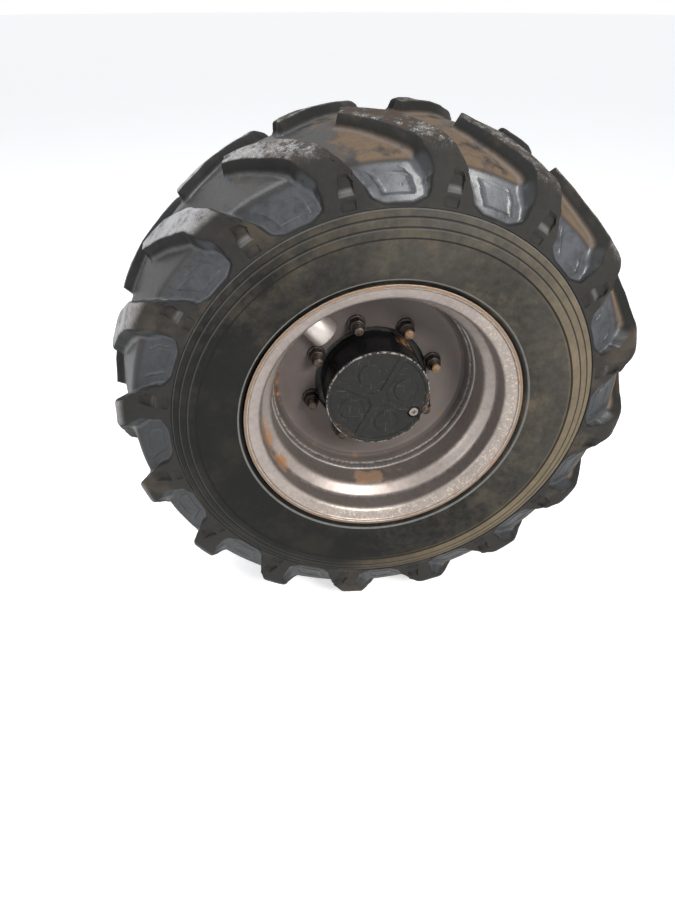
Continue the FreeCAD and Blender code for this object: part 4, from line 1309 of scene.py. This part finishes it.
@dataclass(frozen=True)
class Rim:
    """Rolled rim barrel with curled lips, its pressed disc and the weld between them.

    Sections are rows of (half width or out, radius, cut).
    """

    seat_side: Rows = (
        (179.0, 279.4, 2.0), (168.0, 276.4, 4.0), (165.0, 265.4, 6.0),
        (165.0, 254.0, 5.0), (129.0, 251.5, 6.0), (111.0, 229.0, 8.0),
    )  # fmt: skip
    open_side: Rows = (
        (107.0, 221.0, 9.0), (125.6, 243.8, 5.0), (165.0, 246.4, 8.0),
        (172.0, 263.0, 4.0), (174.6, 270.4, 3.0), (179.0, 271.8, 2.2),
    )  # fmt: skip
    plate: Rows = (
        (255.0, 122.5, 1.5), (255.0, 198.0, 9.0), (260.0, 211.0, 6.0), (279.0, 213.6, 1.4),
        (279.0, 220.8, 0.8), (248.0, 220.8, 6.0), (242.0, 206.0, 9.0), (242.0, 122.5, 1.5),
    )  # fmt: skip
    bead_out: float = 288.0
    bead_half: float = 9.0
    bead_rise: float = 4.6

    def barrel(self) -> Surface:
        """The barrel's closed section, turned: across on the tyre's side and back on the open side."""

        def mirrored(rows: Rows) -> Rows:
            """The same corners on the far side, in the opposite order."""
            return [(-half, radius, cut) for half, radius, cut in rows[::-1]]

        rows = (*self.seat_side, *mirrored(self.seat_side), *mirrored(self.open_side), *self.open_side)
        line = profile(rows, 14.0, 6)
        line[:, 0] += CENTRE_OUT
        return revolved(line, 320)

    def disc(self) -> Surface:
        """The disc's section: flat face, bend and a short cylindrical edge in the barrel."""
        return revolved(profile(self.plate, 12.0, 7))

    def weld(self) -> Surface:
        """The weld bead: a half round whose rise, rise + 0.42 ripple, goes as sin t.

        The ripple is a sum of sines of the clock angle, the finest leaning along the bead.
        """
        clock = clock_angles(900)[None]
        t = np.linspace(0.0, math.pi, 11)[:, None]
        lean = clock * 132 + 0.9 * np.sin(t)
        ripple = np.sin(lean) + 0.5 * np.sin(clock * 31) + 0.4 * np.sin(clock * 7)
        rise = np.sin(t) * (self.bead_rise + 0.42 * ripple)
        across = self.bead_half * np.cos(t) * (1.0 + 0.05 * np.sin(clock * 17))
        top = on_wheel(self.bead_out + across, 220.6 - rise, clock)
        base = on_wheel(self.bead_out + np.array([[-8.6], [8.6]]), 222.5, clock)
        return Surface.grid(np.concatenate([top, base]), closed_rows=True)

    def build(self) -> None:
        """Builds and dresses the rim."""
        piece(self.barrel(), "rim_barrel_shell", Body.WHEEL, RimPaint().material(), ["rim_barrel"])
        piece(self.disc(), "rim_disc_plate", Body.WHEEL, DiscPaint().material(), ["rim_disc"])
        bead = WornMetal("weld_bead", (0.33, 0.31, 0.30), (0.12, 0.105, 0.10), rusting=0.18, shine=0.36, metallic=0.6)
        piece(self.weld(), "disc_weld_bead", Body.WHEEL, bead.material(), ["disc_weld"], 60.0)


@dataclass(frozen=True)
class Fastening:
    """Eight studs with collared, well rounded nuts."""

    count: int = 8
    circle: float = 137.5
    phase: float = 15.0
    nut_flats: float = 30.0
    nut_base: float = 255.0
    nut_top: float = 277.0
    collar: float = 5.0
    stud_end: float = 298.0
    thread_pitch: float = 2.5
    turns: tuple[float, ...] = (0.1, 0.5, 0.9, 0.3, 0.7, 0.2, 0.6, 0.4)

    def places(self) -> list[float]:
        """Clock angles of the studs in radians."""
        return [math.radians(90.0 - self.phase - 360.0 * k / self.count) for k in range(self.count)]

    def nut(self, turn: float) -> Surface:
        """A nut: the smaller of a hexagon's radius and a cap that rounds its corners.

        The hexagon is a / cos(((c + turn) mod 60) - 30), with a half the flats.

        Args:
            turn: How the hexagon is turned, in radians.

        Returns:
            The nut's surface at the wheel's axis.
        """
        clock = clock_angles(48)
        out = [0.0, 1.0, 3.4, 4.4, 5.4, 9.0, 14.0, 18.0, 19.8, 21.0, 21.8, 22.2, 22.4, 24.4, 24.8, 27.0, 27.8]
        out = np.array(out)
        cap = [18.9, 19.5, 19.5, 18.9, 18.2, 18.2, 18.2, 17.9, 16.9, 15.6, 14.4, 13.8, 13.0, 12.9, 12.4, 12.2, 11.2]
        round_collar = 40.0 * (out < self.collar)[:, None]
        radius = np.minimum(np.array(cap)[:, None], hexagon(clock + turn, self.nut_flats)[None] + round_collar)
        radius = np.vstack([np.zeros((1, 48)), radius, np.full((1, 48), 9.0), np.zeros((1, 48))])
        outs = np.concatenate([[0.0], out, [27.0, 27.0]])[:, None]
        return Surface.grid(on_wheel(self.nut_base + outs, radius, clock[None]))

    def stud(self) -> Surface:
        """A stud's end, its thread 9.75 - 0.95 sin^2 of the place along the pitch in radius."""
        out = np.linspace(self.nut_top - 4.0, self.stud_end - 1.6, 46)
        thread = 9.75 - 0.95 * np.sin((out - self.nut_top) / self.thread_pitch * math.pi) ** 2
        out = np.concatenate([[218.0, 219.0, 272.0], out, [self.stud_end - 1.6, self.stud_end, self.stud_end]])
        radius = np.concatenate([[0.0, 9.0, 9.0], thread, [9.2, 7.6, 0.0]])
        return revolved(np.stack([out, radius], axis=1), 28, closed=False)

    def build(self) -> None:
        """Builds and dresses the studs and nuts."""
        nuts = [on_spot(self.nut(turn), self.circle, clock) for turn, clock in zip(self.turns, self.places())]
        studs = [on_spot(self.stud(), self.circle, clock) for clock in self.places()]
        dark = WornMetal(
            "nut_steel", (0.052, 0.040, 0.033), (0.013, 0.010, 0.009), rusting=0.20, shine=0.30, metallic=0.5
        ).material()
        threads = StudSteel().material()
        piece(Surface.joined(nuts), "wheel_nut_set", Body.WHEEL, dark, ["wheel_nuts"], 30.0)
        piece(Surface.joined(studs), "wheel_stud_set", Body.WHEEL, threads, ["wheel_studs"], 50.0)


@dataclass(frozen=True)
class Valve:
    """Valve stem with its cap, and the bent steel guard over it."""

    angle: float = 131.0
    out: float = 270.0
    foot_radius: float = 160.0
    guard_radius: float = 30.0
    guard_wall: float = 5.0
    guard_leg: float = 10.0
    guard_start: float = 152.0
    face_out: float = 255.0
    stem_rows: Rows = (
        (52.0, 0.0, 1.2), (52.0, 7.6, 1.2), (36.0, 8.0, 1.2), (30.0, 5.2, 1.2),
        (16.0, 4.6, 1.2), (14.0, 3.9, 1.2), (6.0, 3.9, 1.2), (6.0, 0.0, 1.2),
    )  # fmt: skip

    def clock(self) -> float:
        """The valve's clock angle in radians."""
        return math.radians(90.0 - self.angle)

    def guard(self) -> Surface:
        """A half pipe on two legs, its section carried along the valve's radius.

        The section is the arc (R cos t, leg + R sin t) with legs down to the disc, and back
        along R less the wall; rows near the ends draw in by the edge's rounding.
        """
        t = np.linspace(0.0, math.pi, 25)
        arc = np.stack([np.cos(t), np.sin(t)], axis=1)
        rise = np.array([0.0, self.guard_leg])

        def there_and_back(outer: float, inner: float) -> Array:
            """The section's outline along one radius and back along another."""
            ends = [(outer, 0.0)], [(-outer, 0.0), (-inner, 0.0)], [(inner, 0.0)]
            return np.vstack([ends[0], arc * outer + rise, ends[1], (arc * inner + rise)[::-1], ends[2]])

        line = there_and_back(self.guard_radius, self.guard_radius - self.guard_wall)
        middle = there_and_back(*[self.guard_radius - self.guard_wall / 2] * 2)
        draw = np.array([1.0, 0.45, 0.12, 0.0, 0.0, 0.0, 0.12, 0.45, 1.0])[:, None, None]
        along = np.array([0.0, 0.25, 0.7, 1.4, 26.0, 51.6, 52.3, 52.75, 53.0]) + self.guard_start
        section = line[None] * (1 - draw) + middle[None] * draw
        away = np.array([math.sin(self.clock()), 0.0, math.cos(self.clock())])
        aside = np.array([math.cos(self.clock()), 0.0, -math.sin(self.clock())])
        outward = np.array([0.0, -1.0, 0.0])
        points = section[..., :1] * aside + (section[..., 1:] + self.face_out) * outward
        points = points + along[:, None, None] * away
        return Surface.grid(points)

    def stem(self) -> Surface:
        """The rubber stem: a base, a waist and a neck, turned about the valve's own axis."""
        turned = revolved(profile(self.stem_rows, 4.0, closed=False), 32, closed=False)
        return pointing_outward(turned, self.foot_radius, self.clock(), self.out)

    def cap(self) -> Surface:
        """The cap: a ribbed cylinder, radius r + 0.22 cos(18 c), with a rounded end."""
        clock = clock_angles(72)[None]
        out = np.array([13.0, 13.0, 12.4, 8.0, 3.0, 1.6, 1.0, 1.0])[:, None]
        radius = np.array([0.0, 4.8, 5.3, 5.3, 5.3, 4.6, 3.4, 0.0])[:, None]
        points = on_wheel(out, radius + 0.22 * (radius > 5.0) * np.cos(18 * clock), clock)
        return pointing_outward(Surface.grid(points), self.foot_radius, self.clock(), self.out)

    def build(self) -> None:
        """Builds and dresses the valve and its guard."""
        rubber = SoftPart("valve_rubber", (0.014, 0.014, 0.013), (0.05, 0.045, 0.04)).material()
        plastic = SoftPart("valve_plastic", (0.018, 0.018, 0.019), (0.06, 0.055, 0.05), 0.4).material()
        steel = GuardSteel().material()
        piece(self.guard(), "valve_guard_shell", Body.WHEEL, steel, ["valve_guard"])
        piece(self.stem(), "valve_stem_body", Body.WHEEL, rubber, ["valve_stem"])
        piece(self.cap(), "valve_cap_ribbed", Body.WHEEL, plastic, ["valve_cap"])


# Hub


@dataclass(frozen=True)
class Hub:
    """Planetary hub: flange and drum, the cover with its relief, and the oil plug."""

    cover_radius: float = 110.0
    cover_out: float = 344.0
    cover_length: float = 102.0
    relief: float = 3.0
    ring: float = 9.0
    boss: float = 20.0
    pad: float = 25.0
    pad_circle: float = 60.0
    pad_start: float = 18.0
    rib: float = 13.0
    rib_start: float = 63.0
    plug_circle: float = 88.0
    plug_angle: float = -27.0
    plug_depth: float = 10.0
    drum_rows: Rows = (
        (116.0, 92.5, 1.0), (116.0, 104.0, 3.0), (150.0, 104.0, 5.0), (168.0, 118.0, 5.0), (220.0, 118.0, 5.0),
        (220.0, 165.0, 2.5), (242.0, 165.0, 2.5), (242.0, 60.0, 0.5), (128.0, 60.0, 0.5), (128.0, 92.5, 1.0),
    )  # fmt: skip

    def drum(self) -> Surface:
        """The hub's closed section, turned: flange, pilot, drum and tapered tail."""
        return revolved(profile(self.drum_rows, 14.0, 6), 256)

    @staticmethod
    def within(value: Array, limit: float) -> Array:
        """Is 1 up to a limit and falls to 0 across a bevel of 2 mm about it."""
        return smooth(value, limit + 0.8, limit - 1.2)

    @staticmethod
    def turned(across: Array, up: Array, degrees: float) -> tuple[Array, Array]:
        """Distances along a direction on the cover's face, and to the left of it."""
        angle = math.radians(degrees)
        ahead = across * math.cos(angle) + up * math.sin(angle)
        return ahead, up * math.cos(angle) - across * math.sin(angle)

    def face_height(self, across: Array, up: Array) -> Array:
        """Depth of the cover's face below its highest plane.

        The floor lies a relief deep within the outer ring. A boss, four round pads and four
        straight ribs stand to the full height, and the plug's recess cuts 10 mm down.

        Args:
            across: Distance to the right of the axis.
            up: Distance above the axis.

        Returns:
            The depths.
        """
        radius = np.hypot(across, up)
        forms = [1 - self.within(radius, self.cover_radius - self.ring), self.within(radius, self.boss)]
        for quarter in (0.0, 90.0, 180.0, 270.0):
            ahead, aside = self.turned(across, up, self.pad_start + quarter)
            forms.append(self.within(np.hypot(ahead - self.pad_circle, aside), self.pad))
            ahead, aside = self.turned(across, up, self.rib_start + quarter)
            forms.append(self.within(np.abs(aside), self.rib / 2) * (ahead > 0))
        depth = self.relief * (1 - np.maximum.reduce(forms))
        ahead, aside = self.turned(across, up, self.plug_angle)
        well = smooth(np.hypot(ahead - self.plug_circle, aside), 14.6, 13.0)
        notch = smooth(np.abs(aside), 9.6, 8.0) * (ahead > self.plug_circle)
        return depth + (self.plug_depth - depth) * np.maximum(well, notch)

    def cover(self) -> Surface:
        """The cover: a polar grid over its face, then its flank and its closed back."""
        clock = clock_angles(420)[None]
        flat = np.linspace(0.0, self.cover_radius - 2.0, 82)
        radius = np.concatenate([flat, self.cover_radius - np.array([1.4, 0.8, 0.3, 0.0])])[:, None]
        drop = np.concatenate([0.0 * flat, [0.15, 0.5, 1.1, 2.0]])[:, None]
        depth = np.maximum(self.face_height(radius * np.sin(clock), radius * np.cos(clock)), drop)
        face = on_wheel(self.cover_out - depth, radius, clock)
        down = np.array([3.0, 4.5, 6.5, 8.5, 10.0, 12.0, 30.0, 60.0, 96.0, 99.0, 101.0, self.cover_length])[:, None]
        flank_radius = self.cover_radius - np.array([0.0] * 10 + [0.8, 2.4])[:, None]
        flank = on_wheel(self.cover_out - np.maximum(down, depth[-1:]), flank_radius, clock)
        back = on_wheel(self.cover_out - self.cover_length, np.array([[60.0], [0.0]]), clock)
        return Surface.grid(np.concatenate([face, flank, back]))

    def plug(self) -> Surface:
        """The oil plug: a rounded head with a six-sided socket 5 mm deep."""
        clock = clock_angles(48)
        socket, whole = hexagon(clock, 8.0), np.ones(48)
        rings = [(0.0, 0.0), (0.0, 9.6), (1.0, 10.0), (5.6, 10.0), (6.6, 9.6), (7.0, 8.8)]
        radius = [size * whole for _, size in rings] + [socket + 0.7, socket, socket, 0.0 * whole]
        out = self.cover_out - self.plug_depth + np.array([up for up, _ in rings] + [7.0, 6.4, 2.2, 2.0])[:, None]
        surface = Surface.grid(on_wheel(out, np.stack(radius), clock[None]))
        return on_spot(surface, self.plug_circle, math.radians(90.0 - self.plug_angle))

    def build(self) -> None:
        """Builds and dresses the hub."""
        paint = AxlePaint("hub_paint", (0.012, 0.012, 0.013), (0.032, 0.031, 0.030)).material()
        enamel = GlossBlack().material()
        steel = WornMetal("plug_steel", (0.36, 0.33, 0.30), (0.10, 0.08, 0.07), rusting=0.42, shine=0.38).material()
        piece(self.drum(), "hub_drum", Body.WHEEL, paint, ["hub"])
        piece(self.cover(), "planet_cover_face", Body.WHEEL, enamel, ["planet_cover"], 50.0)
        piece(self.plug(), "oil_plug_head", Body.WHEEL, steel, ["oil_plug"])


@dataclass(frozen=True)
class AxleEnd:
    """What stays still behind the wheel, kept as the frame's own pieces in new finishes."""

    def dress(self, node: str, slot_finish: bpy.types.Material) -> None:
        """Gives a frame piece a finish.

        Args:
            node: The piece's name.
            slot_finish: The material.
        """
        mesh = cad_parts[node].data
        mesh.materials.clear()
        mesh.materials.append(slot_finish)
        LOG.info("%s dressed", node)

    def build(self) -> None:
        """Dresses the axle end's pieces."""
        paint = AxlePaint().material()
        machined = WornMetal("machined_steel", (0.40, 0.38, 0.36), (0.16, 0.15, 0.14), rusting=0.22, shine=0.34)
        bolt = WornMetal("bolt_steel", (0.12, 0.11, 0.10), (0.04, 0.035, 0.03), rusting=0.36, shine=0.42)
        seal = SoftPart("seal_rubber", (0.012, 0.012, 0.012), (0.04, 0.037, 0.034))
        steel = machined.material()
        finishes = {
            "brake_housing": paint,
            "spindle": paint,
            "spindle_bolts": bolt.material(),
            "hub_seal": seal.material(),
            "brake_port": steel,
            "bleed_screw": steel,
            "shaft_seal": seal.material(),
            "half_shaft": steel,
        }
        for node, finish in finishes.items():
            self.dress(node, finish)


# Studio


@dataclass(frozen=True)
class Studio:
    """Pale floor, soft lamps and the camera."""

    floor_drop: float = 0.538
    lens: float = 24.96
    sensor: float = 36.0
    eye: Place = (-0.23549, -1.42367, 0.69219)
    forward: Place = (0.1096, 0.7937, -0.5984)
    right: Place = (0.9906, -0.1368, 0.0)
    aim: Place = (0.0, -0.25, 0.0)

    @staticmethod
    def stood(name: str, data: bpy.types.ID, eye: Place, ahead: Array, right: Array) -> bpy.types.Object:
        """Stands a camera or a lamp in the scene.

        Args:
            name: Its name.
            data: What it is.
            eye: Where it stands, in metres.
            ahead: The way it looks.
            right: What lies to its right, square to that.

        Returns:
            The object.
        """
        ahead, right = ahead / np.linalg.norm(ahead), right / np.linalg.norm(right)
        basis = np.eye(4)
        basis[:3] = np.stack([right, np.cross(right, ahead), -ahead, eye], axis=1)
        made = bpy.data.objects.new(name, data)
        made.matrix_world = Matrix(basis.tolist())
        bpy.context.scene.collection.objects.link(made)
        return made

    def camera(self) -> None:
        """Places the camera at the photograph's viewpoint."""
        data = bpy.data.cameras.new("camera")
        data.lens, data.sensor_width, data.sensor_fit = self.lens, self.sensor, "AUTO"
        data.clip_start, data.clip_end = 0.02, 60.0
        camera = self.stood("camera", data, self.eye, np.array(self.forward), np.array(self.right))
        bpy.context.scene.camera = camera

    def floor(self) -> None:
        """A wide flat disc under the wheel that shows nearly white and keeps the shadow."""
        radius = np.array([0.0, 400.0, 1500.0, 6000.0, 40000.0])[:, None]
        points = on_wheel(self.floor_drop / METRE + 0.5, radius, clock_angles(96)[None])[..., [0, 2, 1]]
        floor = Surface.grid(points).to_object("studio_floor")
        floor.data.materials.append(self.pale("studio_floor_finish"))

    def pale(self, name: str) -> bpy.types.Material:
        """Pale matt floor colour, lifted towards white where the camera or a reflection sees it."""
        s = Shader(name)
        base = s.mix((0.74, 0.74, 0.73), (0.80, 0.80, 0.79), s.noise(2.0, 3.0, 0.5))
        matt = s.node("ShaderNodeBsdfPrincipled", None, {"Base Color": base, "Roughness": 0.75})
        rays = s.node("ShaderNodeLightPath")
        seen = Value(s, rays.outputs["Is Camera Ray"]).most(Value(s, rays.outputs["Is Glossy Ray"]))
        seen = seen.most(Value(s, rays.outputs["Is Transmission Ray"]))
        glow = s.node("ShaderNodeEmission", None, {"Color": (1.0, 1.0, 1.0), "Strength": 0.55})
        nothing = s.node("ShaderNodeEmission", None, {"Color": (0.0, 0.0, 0.0), "Strength": 0.0})
        lift = s.node("ShaderNodeMixShader", None, {0: seen, 1: nothing.outputs[0], 2: glow.outputs[0]})
        both = s.node("ShaderNodeAddShader", None, {0: matt.outputs[0], 1: lift.outputs[0]})
        s.tree.links.new(both.outputs[0], s.output.inputs["Surface"])
        return s.material

    def world(self) -> None:
        """A plain pale surround."""
        world = bpy.data.worlds.new("surround")
        bpy.context.scene.world = world
        world.use_nodes = True
        tree = world.node_tree
        tree.nodes.clear()
        output = tree.nodes.new("ShaderNodeOutputWorld")
        dim, bright = tree.nodes.new("ShaderNodeBackground"), tree.nodes.new("ShaderNodeBackground")
        dim.inputs["Color"].default_value = (0.86, 0.92, 1.0, 1.0)
        dim.inputs["Strength"].default_value = 0.42
        bright.inputs["Color"].default_value = (1.0, 1.0, 1.0, 1.0)
        bright.inputs["Strength"].default_value = 1.0
        rays, mix = tree.nodes.new("ShaderNodeLightPath"), tree.nodes.new("ShaderNodeMixShader")
        seen = rays.outputs["Is Camera Ray"]
        for kind in ("Is Glossy Ray", "Is Transmission Ray"):
            either = tree.nodes.new("ShaderNodeMath")
            either.operation = "MAXIMUM"
            tree.links.new(seen, either.inputs[0])
            tree.links.new(rays.outputs[kind], either.inputs[1])
            seen = either.outputs[0]
        tree.links.new(seen, mix.inputs[0])
        tree.links.new(dim.outputs[0], mix.inputs[1])
        tree.links.new(bright.outputs[0], mix.inputs[2])
        tree.links.new(mix.outputs[0], output.inputs["Surface"])

    def lamp(self, name: str, eye: Place, size: float, watts: float, tint: Colour) -> None:
        """Adds a soft lamp that points at the wheel.

        Args:
            name: Its name.
            eye: Where it stands, in metres.
            size: Its width in metres.
            watts: Its strength.
            tint: Its colour.
        """
        data = bpy.data.lights.new(name, "AREA")
        data.shape, data.size, data.energy, data.color = "DISK", size, watts, tint
        ahead = np.array(self.aim) - np.array(eye)
        self.stood(name, data, eye, ahead, np.cross(ahead, (0.0, 0.0, 1.0)))

    def build(self) -> None:
        """Sets the studio up."""
        self.camera()
        self.floor()
        self.world()
        self.lamp("key", (1.2, -2.7, 1.7), 1.0, 105.0, (1.0, 0.98, 0.95))
        self.lamp("sky", (-1.6, 0.5, 3.2), 2.4, 95.0, (0.92, 0.96, 1.0))
        self.lamp("fill", (-2.8, -1.8, 0.8), 1.8, 30.0, (1.0, 1.0, 1.0))
        bpy.context.scene.view_settings.view_transform = "Standard"


def main() -> None:
    """Builds the parts in order."""
    logging.basicConfig(level=logging.INFO, format="%(name)s %(message)s", stream=sys.stdout)
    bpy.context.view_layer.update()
    for part in (Studio(), Tyre(), Rim(), Fastening(), Valve(), Hub(), AxleEnd()):
        LOG.info("building %s", type(part).__name__)
        part.build()


if __name__ == "__main__":
    main()
